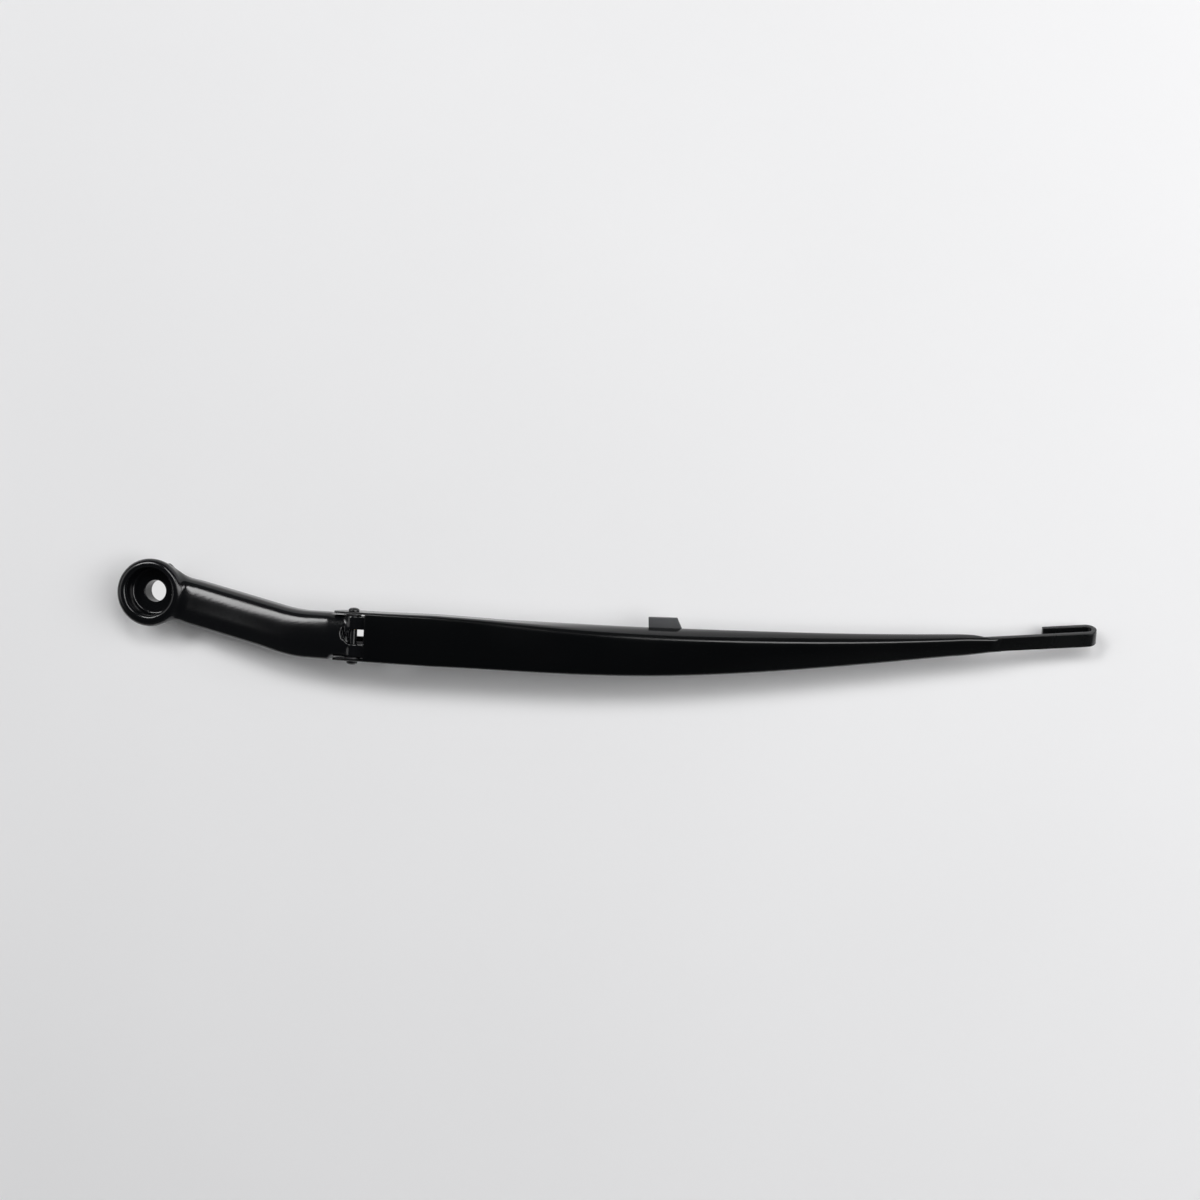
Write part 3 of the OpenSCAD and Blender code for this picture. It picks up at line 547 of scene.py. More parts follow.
def head_casting():
    """Boss, neck and knuckle run together, hollowed and slotted, with the soft corners of a casting."""
    bm = bmesh.new()
    boss = [(AXIS_R, 0), (FOOT_R - FOOT_EDGE, 0), (FOOT_R, FOOT_EDGE), (FOOT_R, FOOT_H),
            (BOSS_R - 0.5, BOSS_H - 2 * RIM_R)]
    rim = arc((BOSS_R - RIM_R, BOSS_H - RIM_R), RIM_R, 0, 90, 12)
    lathe(bm, boss + rim + [(AXIS_R, BOSS_H)], 128, Matrix.Translation((0, BOSS_SHIFT, 0)))
    rings = []
    for u in (BLEND_ON_BOSS / 3, BLEND_ON_BOSS - 2):
        half = sqrt(BOSS_R ** 2 - u ** 2) - 1
        rings.append(neck_ring(u, neck_outline(half, half, foot_limit=NECK_W / 2)))
    steps = 90
    for i in range(steps + 1):
        u = BLEND_ON_BOSS + (HEAD_LEN - BLEND_ON_BOSS) * i / steps
        limit = NECK_W / 2 if u < BLEND_U else BOSS_R
        rings.append(neck_ring(u, neck_outline(neck_half(u), lower_half(u), foot_limit=limit)))
    for part in [i / 8 for i in range(1, 9)]:
        end = neck_outline(KNUCKLE_W / 2, KNUCKLE_W / 2, NECK_DEPTH - KNUCKLE_RISE * part)
        rings.append(neck_ring(HEAD_LEN + SHOULDER * part, end))
    skin(bm, rings)
    knuckle(bm)
    casting = mesh_object("head_casting", bm)
    voxel = ("REMESH", {"mode": "VOXEL", "voxel_size": 0.6 * MM, "use_smooth_shade": True})
    modified(casting, voxel)
    cut(casting, recess_cutter(), hollow_cutter(), *slot_cutters())
    modified(casting, voxel)
    junction_weights(casting)
    modified(casting, ("SMOOTH", {"factor": 0.5, "iterations": 90, "vertex_group": "fillet"}),
             ("SMOOTH", {"factor": 0.5, "iterations": 7}))
    return casting


def bore_cutters():
    """What is machined after casting: the serrated bore with its chamfer and the holes for the pins."""
    floor = BOSS_H - RECESS_DEPTH
    values = {"Radius": (BORE_R - SERRATION_DEPTH / 4) * MM, "Tooth Depth": SERRATION_DEPTH * MM,
              "Teeth": SERRATIONS, "Height": (BOSS_H + 4) * MM, "Material": HEAD_PAINT}
    bore = grown("bore_cutter", serration_tree(), values)
    bore.data.transform(Matrix.Translation((0, 0, -2 * MM)))
    wide, under = BORE_R + BORE_CHAMFER, floor - BORE_CHAMFER - 1
    chamfer = turned("chamfer_cutter", [(AXIS_R, under), (BORE_R - 1, under), (wide, floor),
                                        (wide, floor + 2), (AXIS_R, floor + 2)], 96)
    reach = KNUCKLE_W / 2 + 2
    return (bore, chamfer, drill("pin_cutter", PIN_R + RUN_GAP + BUSH_WALL + PRESS_GAP, reach, 64, HINGE),
            drill("anchor_cutter", ANCHOR_R + PRESS_GAP, reach, 48, ANCHOR))


head = smooth_but_edges(cut(head_casting(), *bore_cutters()), 40)
coat(head, HEAD_PAINT)


# Channel

TIP_START = CHANNEL_LEN - TIP_RUN
TIP_W = BAR_W + 2 * (SHEET_T + BAR_GAP)
BAR_TOP = -SHEET_T - 0.7 * TIP_W / CHANNEL_W - BAR_SEAT
TIP_DEPTH = SHEET_T - (BAR_TOP - BAR_T - BAR_GAP)
TWIST_START = SWEEP_START - 10
WEB_COLUMNS, FOLD_COLUMNS, WALL_COLUMNS, STATIONS = 14, 7, 9, 240


def run_past(s, start):
    """How far station s lies past a start, up to where the tip runs straight."""
    return max(0, min(s, TIP_START) - start)


def width(s):
    """Width over the folds at station s, without the bulge of the sides."""
    k = max(0, min(1, (s - TAPER_START) / (TIP_START + TIP_RUN / 2 - TAPER_START)))
    return CHANNEL_W + (TIP_W - CHANNEL_W) * k


def depth(s):
    """Depth from the face to the walls' edges at station s."""
    k = max(0, min(1, (s - TAPER_START) / (CHANNEL_LEN - TAPER_START)))
    return CHANNEL_DEPTH + (TIP_DEPTH - CHANNEL_DEPTH) * k


def twist(s):
    """Turn of the section about the arm's length at station s."""
    return TIP_TWIST * ease((s - TWIST_START) / (TIP_START - TWIST_START))


def wall_lean(s):
    """Lean of the upper wall out from square at station s, widest halfway."""
    k = max(0, min(1, (s - SWEEP_START) / (CHANNEL_LEN - SWEEP_START)))
    return WALL_LEAN * sin(pi * k)


def section(s):
    """The frame of the channel's section at station s: X along, Y across, Z out, zero on the face."""
    over = max(0, s - TIP_START)
    k, a = run_past(s, SWEEP_START), run_past(s, ARCH_START)
    middle = Vector((s, k * (k / 2 + over) / SWEEP_R, FACE_RISE - a * (a / 2 + over) / ARCH_R - depth(s) / 2))
    turn = (Matrix.Rotation(atan(k / SWEEP_R), 4, "Z") @ Matrix.Rotation(atan(a / ARCH_R), 4, "Y")
            @ Matrix.Rotation(twist(s), 4, "X"))
    return Matrix.Translation(HINGE + middle) @ turn @ Matrix.Translation((0, 0, depth(s) / 2))


def channel_tree():
    """A sheet folded to a U: each point of a grid goes to its station along the arm and its place
    in the section."""
    sizes = ["First Station", "Length", "Last Station", "Tongue Start", "Tongue Draw", "Fold Gain",
             "Upper Gain", "Belly", "Belly Start", "Belly End", "Tip Start", "Taper Start", "Taper End",
             "Hinge Width", "Tip Width", "Hinge Depth", "Tip Depth", "Hinge Fold", "Fold", "Fold Full",
             "Edge Tilt", "Face Rise", "Twist", "Twist Start", "Sweep Start", "Sweep Radius",
             "Arch Start", "Arch Radius", "Wall Lean", "Wall Swell"]
    inputs = {**{label: 1.0 for label in sizes}, "Hinge": Vector(), "Material": None}
    tree, given = new_tree("pressed_channel", inputs)
    columns = WEB_COLUMNS + FOLD_COLUMNS + WALL_COLUMNS
    folded = WEB_COLUMNS + FOLD_COLUMNS
    grid = add(tree, "GeometryNodeMeshGrid", inputs={"Size X": 1.0, "Size Y": 1.0, "Vertices X": STATIONS + 1,
                                                     "Vertices Y": 2 * columns + 1})
    flat = add(tree, "ShaderNodeSeparateXYZ", inputs={0: add(tree, "GeometryNodeInputPosition")})
    values = {label: given.outputs[label] for label in sizes}
    values.update({"x": flat.outputs["X"], "y": flat.outputs["Y"]})
    steps = [
        ("s", "LINEAR", "x", -0.5, 0.5, "First Station", "Last Station"),
        ("place", "LINEAR", "y", -0.5, 0.5, -columns, columns),
        ("far", "ABSOLUTE", "place"),
        ("side", "SIGN", "place"),
        ("upper", "GREATER_THAN", "place", 0.0),
        ("web", "LINEAR", "place", -WEB_COLUMNS, WEB_COLUMNS, -1.0, 1.0),
        ("bend", "LINEAR", "far", WEB_COLUMNS, folded, 0.0, 1.0),
        ("wall", "LINEAR", "far", folded, columns, 0.0, 1.0),
        ("full width", "LINEAR", "s", "Taper Start", "Taper End", "Hinge Width", "Tip Width"),
        ("drawn in", "SMOOTHSTEP", "s", "Tongue Start", "Last Station", 0.0, "Tongue Draw"),
        ("width", "SUBTRACT", "full width", "drawn in"),
        ("depth", "LINEAR", "s", "Taper Start", "Length", "Hinge Depth", "Tip Depth"),
        ("phase", "LINEAR", "s", "Sweep Start", "Length", 0.0, pi),
        ("bow", "SINE", "phase"),
        ("lower fold", "SMOOTHSTEP", "s", "Taper Start", "Fold Full", "Hinge Fold", "Fold"),
        ("gain start", "SMOOTHSTEP", "s", "First Station", "Fold Full", 0.0, "Fold Gain"),
        ("gain end", "SMOOTHSTEP", "s", "Fold Full", "Length", 0.0, "Fold Gain"),
        ("full gain", "SUBTRACT", "gain start", "gain end"),
        ("gain", "MULTIPLY", "full gain", "upper"),
        ("fold", "ADD", "lower fold", "gain"),
        ("full lean", "MULTIPLY", "bow", "Wall Lean"),
        ("lean", "MULTIPLY", "full lean", "upper"),
        ("full swell", "SMOOTHSTEP", "s", "Sweep Start", "Fold Full", 0.0, "Wall Swell"),
        ("swell", "MULTIPLY", "full swell", "upper"),
        # Half width and crown of the web, which meets the fold at the edge tilt
        ("sin tilt", "SINE", "Edge Tilt"),
        ("cos tilt", "COSINE", "Edge Tilt"),
        ("tan tilt", "TANGENT", "Edge Tilt"),
        ("inside", "SUBTRACT", 1.0, "sin tilt"),
        ("fold width", "MULTIPLY", "fold", "inside"),
        # The lower side bulges between its start and its end, and the upper side by less and sooner
        ("near share", "MULTIPLY", "Belly Start", 0.55),
        ("far share", "MULTIPLY", "Belly End", 0.45),
        ("fullest", "ADD", "near share", "far share"),
        ("rises", "SMOOTHSTEP", "s", "Belly Start", "fullest", 0.0, "Belly"),
        ("falls", "SMOOTHSTEP", "s", "fullest", "Belly End", 0.0, "Belly"),
        ("lower bulge", "SUBTRACT", "rises", "falls"),
        ("gains", "SMOOTHSTEP", "s", 0.0, "Sweep Start", 0.0, "Upper Gain"),
        ("loses", "SMOOTHSTEP", "s", "fullest", "Length", 0.0, "Upper Gain"),
        ("upper bulge", "SUBTRACT", "gains", "loses"),
        ("lower", "SUBTRACT", 1.0, "upper"),
        ("bulge low", "MULTIPLY", "lower bulge", "lower"),
        ("bulge high", "MULTIPLY", "upper bulge", "upper"),
        ("bulge", "ADD", "bulge low", "bulge high"),
        ("even half", "MULTIPLY", "width", 0.5),
        ("half width", "ADD", "even half", "bulge"),
        ("half", "SUBTRACT", "half width", "fold width"),
        ("half tilt", "MULTIPLY", "tan tilt", 0.5),
        ("crown", "MULTIPLY", "half", "half tilt"),
        ("web square", "MULTIPLY", "web", "web"),
        ("web drop", "MULTIPLY", "web square", "crown"),
        # The fold turns from the edge tilt to the direction of the wall
        ("upright", "SUBTRACT", pi / 2, "lean"),
        ("last angle", "SUBTRACT", "upright", "swell"),
        ("angle", "LINEAR", "bend", 0.0, 1.0, "Edge Tilt", "last angle"),
        ("sine", "SINE", "angle"),
        ("cosine", "COSINE", "angle"),
        ("sine run", "SUBTRACT", "sine", "sin tilt"),
        ("fold out", "MULTIPLY", "sine run", "fold"),
        ("cosine run", "SUBTRACT", "cos tilt", "cosine"),
        ("fold drop", "MULTIPLY", "cosine run", "fold"),
        # The wall leans out and swells between fold and foot
        ("last cosine", "COSINE", "last angle"),
        ("last run", "SUBTRACT", "cos tilt", "last cosine"),
        ("last drop", "MULTIPLY", "last run", "fold"),
        ("wall top", "ADD", "last drop", "crown"),
        ("wall height", "SUBTRACT", "depth", "wall top"),
        ("wall drop", "MULTIPLY", "wall height", "wall"),
        ("tan lean", "TANGENT", "lean"),
        ("lean out", "MULTIPLY", "wall drop", "tan lean"),
        ("left over", "SUBTRACT", 1.0, "wall"),
        ("hump", "MULTIPLY", "left over", "wall drop"),
        ("tan swell", "TANGENT", "swell"),
        ("swell out", "MULTIPLY", "hump", "tan swell"),
        # Sum of the section
        ("web out", "MULTIPLY", "web", "half"),
        ("out one", "ADD", "fold out", "lean out"),
        ("out two", "ADD", "out one", "swell out"),
        ("side out", "MULTIPLY", "out two", "side"),
        ("across", "ADD", "web out", "side out"),
        ("drop one", "ADD", "web drop", "fold drop"),
        ("drop", "ADD", "drop one", "wall drop"),
        ("half depth", "MULTIPLY", "depth", 0.5),
        ("height", "SUBTRACT", "half depth", "drop"),
        # The path: sweep in plan and arch seen from the side, both straight past the start of the tip
        ("past tip", "SUBTRACT", "s", "Tip Start"),
        ("over", "MAXIMUM", "past tip", 0.0),
        ("curved", "MINIMUM", "s", "Tip Start"),
        ("sweep past", "SUBTRACT", "curved", "Sweep Start"),
        ("sweep run", "MAXIMUM", "sweep past", 0.0),
        ("sweep half", "MULTIPLY", "sweep run", 0.5),
        ("sweep arm", "ADD", "sweep half", "over"),
        ("sweep slope", "DIVIDE", "sweep run", "Sweep Radius"),
        ("sweep", "MULTIPLY", "sweep slope", "sweep arm"),
        ("sweep angle", "ARCTANGENT", "sweep slope"),
        ("arch past", "SUBTRACT", "curved", "Arch Start"),
        ("arch run", "MAXIMUM", "arch past", 0.0),
        ("arch half", "MULTIPLY", "arch run", 0.5),
        ("arch arm", "ADD", "arch half", "over"),
        ("arch slope", "DIVIDE", "arch run", "Arch Radius"),
        ("arch", "MULTIPLY", "arch slope", "arch arm"),
        ("arch angle", "ARCTANGENT", "arch slope"),
        ("rise", "SUBTRACT", "Face Rise", "arch"),
        ("middle", "SUBTRACT", "rise", "half depth"),
        ("twist", "SMOOTHSTEP", "s", "Twist Start", "Tip Start", 0.0, "Twist"),
    ]
    reckon(tree, values, steps)
    point = add(tree, "ShaderNodeCombineXYZ", inputs={"Y": values["across"], "Z": values["height"]})
    for axis, angle in (("X_AXIS", "twist"), ("Y_AXIS", "arch angle"), ("Z_AXIS", "sweep angle")):
        point = add(tree, "ShaderNodeVectorRotate", {"rotation_type": axis},
                    {"Vector": point, "Angle": values[angle]})
    middle = add(tree, "ShaderNodeCombineXYZ",
                 inputs={0: values["s"], 1: values["sweep"], 2: values["middle"]})
    local = add(tree, "ShaderNodeVectorMath", {"operation": "ADD"}, {0: point, 1: middle})
    placed = add(tree, "ShaderNodeVectorMath", {"operation": "ADD"}, {0: local, 1: given.outputs["Hinge"]})
    sheet = add(tree, "GeometryNodeSetPosition", inputs={"Geometry": grid, "Position": placed})
    end_tree(tree, sheet, given.outputs["Material"])
    return tree


def channel_cutters():
    """The face is cut back to let the head in, the ears are round about the pin, and the tip
    runs out in a tongue that feathers away on the bar."""
    inner = CHANNEL_W / 2 - SHEET_T
    web = drawn("web_cutter", [(-FAR, -inner), (WEB_CUT, -inner), (WEB_CUT, inner), (-FAR, inner)],
                -1, THROUGH, Matrix.Translation(HINGE))
    round_end = arc((0, 0), CHANNEL_DEPTH - FACE_RISE, 90, 270, 48)
    ears = drawn("ear_cutter", [(0, FAR)] + round_end + [(0, -FAR), (-FAR, -FAR), (-FAR, FAR)],
                 -CHANNEL_W, CHANNEL_W, Matrix.Translation(HINGE) @ ACROSS)
    pin = drill("ear_hole_cutter", PIN_R + 0.01, FAR, 64, HINGE)
    tongue = section(CHANNEL_LEN) @ ACROSS
    under = -SHEET_T - SLANT_GAP
    slant = drawn("tip_slant_cutter",
                  [(-TIP_SLANT, under - TIP_DEPTH), (-TIP_SLANT / 3, under - TIP_DEPTH / 2), (0, under),
                   (FAR, under), (FAR, -THROUGH), (-TIP_SLANT, -THROUGH)], -TIP_W, TIP_W, tongue)
    end = TONGUE_END - CHANNEL_LEN
    feather = drawn("feather_cutter",
                    [(end - FEATHER, 0.6), (end, BAR_TOP), (end + 9, BAR_TOP), (end + 9, 9),
                     (end - FEATHER, 9)], -TIP_W, TIP_W, tongue)
    return web, ears, pin, slant, feather


def crimped_lips():
    """The lips of the tip, folded under the flat bar."""
    floor = BAR_TOP - BAR_T - BAR_GAP
    bm = bmesh.new()
    for side in (1, -1):
        outer = side * (TIP_W / 2 - 0.2)
        inner = outer - side * (BAR_W * LIP_SHARE)
        prism(bm, [(-LIP_RUN, outer), (LIP_RUN - 2, outer), (LIP_RUN - 3, inner), (1 - LIP_RUN, inner)],
              floor - SHEET_T, floor, section(TIP_START))
    return mesh_object("crimped_lips", bm)


def joined(name, *objects):
    """Joins objects into the first one."""
    bm = bmesh.new()
    for obj in objects:
        bm.from_mesh(obj.data)
    mesh = bpy.data.meshes.new(name)
    bm.to_mesh(mesh)
    bm.free()
    for obj in objects:
        bpy.data.objects.remove(obj)
    obj = bpy.data.objects.new(name, mesh)
    bpy.context.scene.collection.objects.link(obj)
    return obj


lengths = {
    "First Station": -(CHANNEL_DEPTH - FACE_RISE), "Length": CHANNEL_LEN, "Last Station": TONGUE_END,
    "Tongue Start": TONGUE_START, "Tongue Draw": TIP_W - TONGUE_W, "Fold Gain": UPPER_FOLD_GAIN,
    "Upper Gain": UPPER_GAIN, "Belly": BELLY, "Belly Start": BELLY_START, "Belly End": BELLY_END,
    "Tip Start": TIP_START, "Taper Start": TAPER_START, "Taper End": TIP_START + TIP_RUN / 2,
    "Hinge Width": CHANNEL_W, "Tip Width": TIP_W, "Hinge Depth": CHANNEL_DEPTH, "Tip Depth": TIP_DEPTH,
    "Hinge Fold": HINGE_FOLD_R, "Fold": FOLD_R, "Fold Full": FOLD_FULL, "Face Rise": FACE_RISE,
    "Twist Start": TWIST_START, "Sweep Start": SWEEP_START, "Sweep Radius": SWEEP_R,
    "Arch Start": ARCH_START, "Arch Radius": ARCH_R}
channel_values = {
    **{label: value * MM for label, value in lengths.items()}, "Edge Tilt": EDGE_TILT, "Twist": TIP_TWIST,
    "Wall Lean": WALL_LEAN, "Wall Swell": WALL_SWELL, "Hinge": HINGE * MM, "Material": CHANNEL_PAINT}
sheet = ("SOLIDIFY", {"thickness": SHEET_T * MM, "offset": -1, "use_even_offset": True})
channel = cut(grown("channel_sheet", channel_tree(), channel_values, sheet), *channel_cutters())
softened = ("BEVEL", {"width": 0.2 * MM, "segments": 2, "limit_method": "ANGLE", "angle_limit": radians(50),
                      "miter_outer": "MITER_ARC"})
channel = modified(joined("channel_pressing", channel, crimped_lips()), softened)
coat(channel, CHANNEL_PAINT)
smooth_but_edges(channel, 35)


# Flat bar

def rounded_box(half_w, half_h, r, steps):
    """Outline of a flat bar with rounded edges, centred on zero."""
    corners = [(half_w - r, half_h - r, 0), (r - half_w, half_h - r, 90),
               (r - half_w, r - half_h, 180), (half_w - r, r - half_h, 270)]
    return [point for x, y, start in corners for point in arc((x, y), r, start, start + 90, steps)]


def hook_bar():
    """One flat bar, bent back on itself: its middle line runs along X, round the bend and back."""
    tip_mid = TIP_START + TIP_RUN / 2
    start = CHANNEL_LEN - BAR_INSIDE - tip_mid
    bend_r = (HOOK_GAP + BAR_T) / 2
    bend_x = HOOK_S - tip_mid - bend_r - BAR_T / 2
    middle = BAR_TOP - BAR_T / 2
    steps = 28
    turns = [pi * i / steps for i in range(1, steps)]
    path = [(start, middle, 0.0), (bend_x, middle, 0.0)]
    path += [(bend_x + bend_r * sin(turn), middle - bend_r + bend_r * cos(turn), turn) for turn in turns]
    path += [(bend_x, middle - 2 * bend_r, pi), (HOOK_S - tip_mid - HOOK_RETURN, middle - 2 * bend_r, pi)]
    place = section(tip_mid)
    outline = rounded_box(BAR_W / 2, BAR_T / 2, BAR_EDGE, 4)
    rings = []
    for x, z, turn in path:
        out = Vector((sin(turn), 0, cos(turn)))
        rings.append([place @ (Vector((x, 0, z)) + Vector((0, y, 0)) + out * h) for y, h in outline])
    eased = ("BEVEL", {"width": 0.3 * MM, "segments": 2, "limit_method": "ANGLE", "angle_limit": radians(60)})
    bar = modified(lofted("hook_bar_bent", rings), eased)
    coat(bar, BAR_PAINT)
    return smooth_but_edges(bar, 35)


bar = hook_bar()


# Hinge pin

def hinge_pin():
    """A shank with a domed head at each end, dished a little in the middle by the riveting tool."""
    reach = CHANNEL_W / 2 + PRESS_GAP
    base = PIN_HEAD_H * 0.35
    dome = [(PIN_HEAD_R * cos(a), reach + base + (PIN_HEAD_H - base) * sin(a))
            for a in [radians(9 * i) for i in range(1, 9)]]
    dish = [(r, reach + PIN_HEAD_H - deep) for r, deep in ((0.55, 0.12), (0.3, 0.3), (AXIS_R, 0.34))]
    head_end = [(PIN_R, reach), (PIN_HEAD_R - PIN_EDGE, reach), (PIN_HEAD_R, reach + PIN_EDGE)] + dome + dish
    profile = [(r, -z) for r, z in reversed(head_end)] + head_end
    pin = turned("hinge_pin_riveted", profile, 64, Matrix.Translation(HINGE) @ ACROSS)
    coat(pin, PIN_PAINT)
    return smooth_but_edges(pin, 40)


pin = hinge_pin()


# Hose clip

def wall_foot(s):
    """The point at station s on the lower edge of the upper wall's outside."""
    out = depth(s) * tan(wall_lean(s)) * WALL_SHARE
    return section(s) @ Vector((0, width(s) / 2 + out, -depth(s)))


def hose_clip():
    """A moulded L on the wall's edge: a leg inside the sheet and a tab that stands out under it,
    slanted at one end."""
    run = wall_foot(CLIP_S + CLIP_LEN / 2) - wall_foot(CLIP_S - CLIP_LEN / 2)
    heading = Matrix.Rotation(-atan(run.z / sqrt(run.x ** 2 + run.y ** 2)), 4, "Y")
    turn = Matrix.Rotation(atan(run.y / run.x), 4, "Z") @ heading
    lean = twist(CLIP_S) + wall_lean(CLIP_S)
    place = Matrix.Translation(wall_foot(CLIP_S)) @ turn @ Matrix.Rotation(lean, 4, "X")
    # The L is drawn across the wall, and drawn out along it
    place = place @ Matrix(((0, 0, 1, 0), (1, 0, 0, 0), (0, 1, 0, 0), (0, 0, 0, 1)))
    inner, outer = -SHEET_T - CLIP_GAP, CLIP_GAP
    low, half = -CLIP_GAP - CLIP_T, CLIP_LEN / 2
    bm = bmesh.new()
    prism(bm, [(inner - CLIP_T, low), (inner + 0.3, low), (inner + 0.3, -CLIP_GAP), (inner, -CLIP_GAP),
               (inner, CLIP_GRIP - CLIP_GAP), (inner - CLIP_T, CLIP_GRIP - CLIP_GAP)], -half, half, place)
    tab = [(inner + 0.2, -half), (outer + CLIP_REACH, -half), (outer + CLIP_REACH, half - CLIP_SLANT),
           (inner + 0.2, half)]
    skin(bm, [[place @ Vector((x, y, z)) for x, z in tab] for y in (low, -CLIP_GAP)])
    eased = ("BEVEL", {"width": 0.25 * MM, "segments": 3, "limit_method": "ANGLE",
                       "angle_limit": radians(50)})
    clip = modified(mesh_object("hose_clip_moulded", bm), eased)
    coat(clip, CLIP_NYLON)
    return smooth_but_edges(clip, 35)


clip = hose_clip()


# Tension spring

def spring_tree():
    """Sweeps a round wire along a coil of turns that draw in at both ends; the round hook at each end is made
    apart, by wire_hook.
    """
    inputs = {"Coil Radius": 1.0, "Wire Radius": 1.0, "Turns": 1.0, "From": 1.0, "To": 1.0, "Material": None}
    tree, given = new_tree("tension_spring_wire", inputs)
    line = add(tree, "GeometryNodeCurvePrimitiveLine", inputs={"Start": (0, 0, 0), "End": (1, 0, 0)})
    count = add(tree, "ShaderNodeMath", {"operation": "MULTIPLY"}, {0: given.outputs["Turns"], 1: 30.0})
    dense = add(tree, "GeometryNodeResampleCurve", inputs={"Curve": line, "Count": count})
    factor = add(tree, "GeometryNodeSplineParameter").outputs["Factor"]
    values = {"f": factor, **{label: given.outputs[label] for label in inputs if label != "Material"}}
    steps = [
        ("turn", "MULTIPLY", "f", "Turns"),
        ("left", "SUBTRACT", "Turns", "turn"),
        ("near end", "MINIMUM", "turn", "left"),
        ("drawn in", "ADD", "near end", END_TURN_SHARE),
        ("fullness", "MINIMUM", "drawn in", 1.0),
        ("radius", "MULTIPLY", "fullness", "Coil Radius"),
        ("full angle", "MULTIPLY", "turn", 2 * pi),
        ("angle", "SUBTRACT", "full angle", pi / 2),
        ("sine", "SINE", "angle"),
        ("cosine", "COSINE", "angle"),
        ("y", "MULTIPLY", "sine", "radius"),
        ("z", "MULTIPLY", "cosine", "radius"),
        ("span", "SUBTRACT", "To", "From"),
        ("run", "MULTIPLY", "f", "span"),
        ("x", "ADD", "run", "From"),
    ]
    reckon(tree, values, steps)
    point = add(tree, "ShaderNodeCombineXYZ", inputs={0: values["x"], 1: values["y"], 2: values["z"]})
    coil = add(tree, "GeometryNodeSetPosition", inputs={"Geometry": dense, "Position": point})
    wire = add(tree, "GeometryNodeCurvePrimitiveCircle",
               inputs={"Resolution": 10, "Radius": given.outputs["Wire Radius"]})
    swept = add(tree, "GeometryNodeCurveToMesh",
                inputs={"Curve": coil, "Profile Curve": wire, "Fill Caps": True})
    smooth = add(tree, "GeometryNodeSetShadeSmooth", inputs={"Geometry": swept})
    end_tree(tree, smooth, given.outputs["Material"])
    return tree


def wire_hook(bm, place, centre, start, end, join):
    """A round hook in the XY plane about its centre, led straight into the coil's end."""
    steps = 30
    angles = [radians(start + (end - start) * i / steps) for i in range(steps + 1)]
    points = [Vector((centre + HOOK_R * cos(a), HOOK_R * sin(a), 0)) for a in angles]
    points.append(join)
    rings = []
    for i, point in enumerate(points):
        along = (points[min(i + 1, steps + 1)] - points[max(i - 1, 0)]).normalized()
        side = along.cross(Vector((0, 0, 1))).normalized()
        up = side.cross(along)
        turns = [2 * pi * k / 12 for k in range(12)]
        rings.append([place @ (point + WIRE_R * (side * cos(t) + up * sin(t))) for t in turns])
    skin(bm, rings)


def tension_spring():
    """The coil and its hooks, from the link's far end to the bracket."""
    bracket = HINGE + Vector((BRACKET_S, 0, -BRACKET_DROP))
    line = bracket - ANCHOR
    length = sqrt(line.x ** 2 + line.z ** 2)
    place = (Matrix.Translation(ANCHOR + Vector((0, LINK_SIDE, 0)))
             @ Matrix.Rotation(-atan(line.z / line.x), 4, "Y"))
    coil_r = SPRING_R - WIRE_R
    start, end = LINK_LEN + 2 * HOOK_R + HOOK_LEAD, length - 2 * HOOK_R - HOOK_LEAD
    values = {"Coil Radius": coil_r * MM, "Wire Radius": WIRE_R * MM, "Turns": float(TURNS),
              "From": start * MM, "To": end * MM, "Material": SPRING_STEEL}
    coil = grown("spring_coil", spring_tree(), values)
    coil.data.transform(Matrix.Translation(place.translation * MM) @ place.to_3x3().to_4x4())
    inner = coil_r * END_TURN_SHARE
    bm = bmesh.new()
    wire_hook(bm, place, LINK_LEN + HOOK_R, 50, 300, Vector((start, -inner, 0)))
    wire_hook(bm, place, length - HOOK_R, 130, -120, Vector((end, -inner, 0)))
    spring = joined("tension_spring_wire", coil, mesh_object("spring_hooks", bm))
    coat(spring, SPRING_STEEL)
    return smooth_but_edges(spring, 60)


spring = tension_spring()


# What each piece rides on and stands for, and the name of a slot, which is not used
for piece, body, node, slot in (
        (head, "head", "head", "head_paint"), (channel, "arm", "channel", "channel_paint"),
        (bar, "arm", "hook_bar", "bar_paint"), (pin, "arm", "hinge_pin", "pin_paint"),
        (clip, "arm", "hose_clip", "clip_nylon"), (spring, "link", "tension_spring", "spring_steel")):
    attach(piece, body)
    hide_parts(node)

# Inner pieces that keep the solid's own mesh
for node, material in (("hinge_bush_left", BUSH_BRONZE), ("hinge_bush_right", BUSH_BRONZE),
                       ("friction_washer_left", WASHER_NYLON), ("friction_washer_right", WASHER_NYLON),
                       ("anchor_pin", ZINC), ("spring_link", LINK_STEEL), ("spring_bracket", LINK_STEEL)):
    coat(frame["nodes"][node], material)


# Floor, light and camera

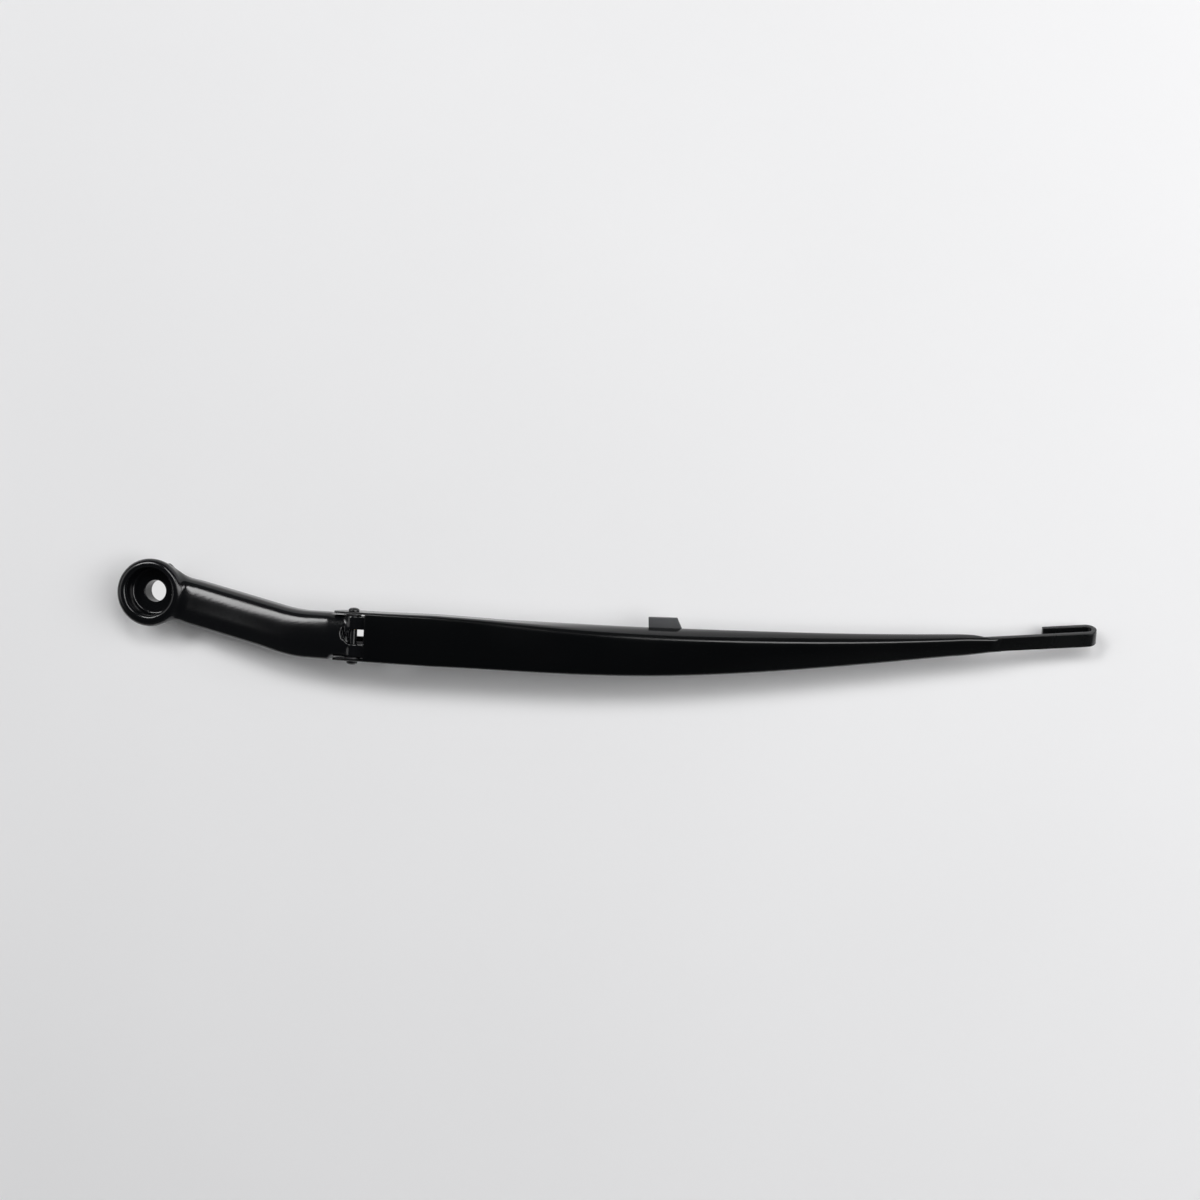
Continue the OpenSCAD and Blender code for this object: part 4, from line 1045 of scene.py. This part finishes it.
def painted_light_spots(tree, place):
    """Three round spots of painted light that only a steep view straight, in a mirror or through glass shows:
    a glow as bright as the lit floor is painted there, without the object's shadow, under the bore and the
    hinge's slot."""
    spots = [(Vector(), 12), (Vector((HINGE.x - 14, HINGE.y - 1, 0)), 6),
             (Vector((HINGE.x - 2, HINGE.y + 1.5, 0)), 4.5)]
    lit = 0.0
    for middle, radius in spots:
        gap = add(tree, "ShaderNodeVectorMath", {"operation": "DISTANCE"}, {0: place, 1: middle * MM})
        spot = add(tree, "ShaderNodeMapRange", inputs={0: gap.outputs["Value"], 1: (radius - 1) * MM,
                                                       2: (radius + 1) * MM, 3: 1.0, 4: 0.0})
        lit = add(tree, "ShaderNodeMath", {"operation": "MAXIMUM"}, {0: spot, 1: lit})
    facing = add(tree, "ShaderNodeNewGeometry").outputs["Incoming"]
    upward = add(tree, "ShaderNodeSeparateXYZ", inputs={0: facing})
    steep = add(tree, "ShaderNodeMath", {"operation": "GREATER_THAN"}, {0: upward.outputs["Z"], 1: 0.9})
    path = add(tree, "ShaderNodeLightPath")
    straight = path.outputs["Is Camera Ray"]
    for kind in ("Is Glossy Ray", "Is Transmission Ray"):
        straight = add(tree, "ShaderNodeMath", {"operation": "MAXIMUM"}, {0: straight, 1: path.outputs[kind]})
    seen = add(tree, "ShaderNodeMath", {"operation": "MULTIPLY"}, {0: lit, 1: steep})
    return add(tree, "ShaderNodeMath", {"operation": "MULTIPLY"}, {0: seen, 1: straight})


def floor():
    """A pale, matte sheet that runs far past the view, with spots of painted light under the bore and the
    hinge's slot.
    """
    reach = 4000
    bm = bmesh.new()
    corners = ((-reach, -reach), (reach, -reach), (reach, reach), (-reach, reach))
    bm.faces.new([bm.verts.new((x, y, 0)) for x, y in corners])
    obj = mesh_object("studio_floor", bm)
    material, tree, shader, place = surface("matte_pale_sheet", "#f0f0f1", 0.8)
    clouds = add(tree, "ShaderNodeTexNoise", inputs={"Vector": place, "Scale": 1 / (300 * MM), "Detail": 2.0})
    colour = add(tree, "ShaderNodeMix", {"data_type": "RGBA"},
                 {"Factor": clouds, "A": linear("#eeeeef"), "B": linear("#f4f4f5")})
    tree.links.new(colour.outputs["Result"], shader.inputs["Base Color"])
    shader.inputs["Specular IOR Level"].default_value = 0.2
    # Painted light: a glow as bright as the lit floor, which the spots show in place of the floor's own
    # shading
    even = add(tree, "ShaderNodeEmission", inputs={"Strength": 0.75})
    both = add(tree, "ShaderNodeMixShader", inputs={0: painted_light_spots(tree, place), 1: shader, 2: even})
    tree.links.new(both.outputs[0], tree.nodes["Material Output"].inputs["Surface"])
    coat(obj, material)


def softbox(name, at, target, size_x, size_y, level):
    """A rectangular lamp whose face is as bright as its level, where white paper in full light is 1."""
    light = bpy.data.lights.new(name, "AREA")
    light.shape = "RECTANGLE"
    light.size, light.size_y = size_x * MM, size_y * MM
    light.energy = level * pi * size_x * size_y * MM * MM
    obj = bpy.data.objects.new(name, light)
    at, target = Vector(at) * MM, Vector(target) * MM
    obj.matrix_world = Matrix.Translation(at) @ (at - target).to_track_quat("Z", "Y").to_matrix().to_4x4()
    bpy.context.scene.collection.objects.link(obj)


def studio_world():
    """A dim room: dark overhead, a little lighter towards the horizon."""
    world = bpy.data.worlds.new("dim_studio")
    world.use_nodes = True
    tree = world.node_tree
    up = add(tree, "ShaderNodeSeparateXYZ", inputs={0: add(tree, "ShaderNodeTexCoord").outputs["Generated"]})
    level = add(tree, "ShaderNodeMapRange", inputs={0: up.outputs["Z"], 1: 0.2, 2: 0.8, 3: 0.1, 4: 0.02})
    tree.links.new(level.outputs[0], tree.nodes["Background"].inputs["Strength"])
    tree.nodes["Background"].inputs["Color"].default_value = linear("#fbfcff")
    bpy.context.scene.world = world


def camera():
    """The photograph's view: nearly straight down, over the channel's middle, turned a little."""
    data = bpy.data.cameras.new("view_from_above")
    data.lens, data.sensor_width, data.clip_end = 45, 36, 20
    obj = bpy.data.objects.new("view_from_above", data)
    right, back = Vector((0.991, 0.054, -0.120)).normalized(), Vector((0.117, 0.057, 0.992))
    back = (back - right * back.dot(right)).normalized()
    turn = Matrix((right, back.cross(right), back)).transposed().to_4x4()
    obj.matrix_world = Matrix.Translation((HINGE + Vector((258.1, 83.2, 898.6))) * MM) @ turn
    bpy.context.scene.collection.objects.link(obj)
    bpy.context.scene.camera = obj


floor()
softbox("key_left", (-1575, 1904, 2618), (0, 0, 0), 1750, 840, 10.5)
softbox("key_right", (1105, 1904, 2618), (400, 0, 0), 1750, 840, 6.5)
softbox("side_left", (-3300, 600, 2600), (300, 0, 0), 3000, 2400, 1)
softbox("side_right", (3000, 600, 2600), (300, 0, 0), 3600, 2400, 2.1)
softbox("right_fill", (1800, 300, 1100), (300, 0, 0), 1100, 1100, 2.5)
studio_world()
camera()
bpy.context.scene.view_settings.view_transform = "Standard"
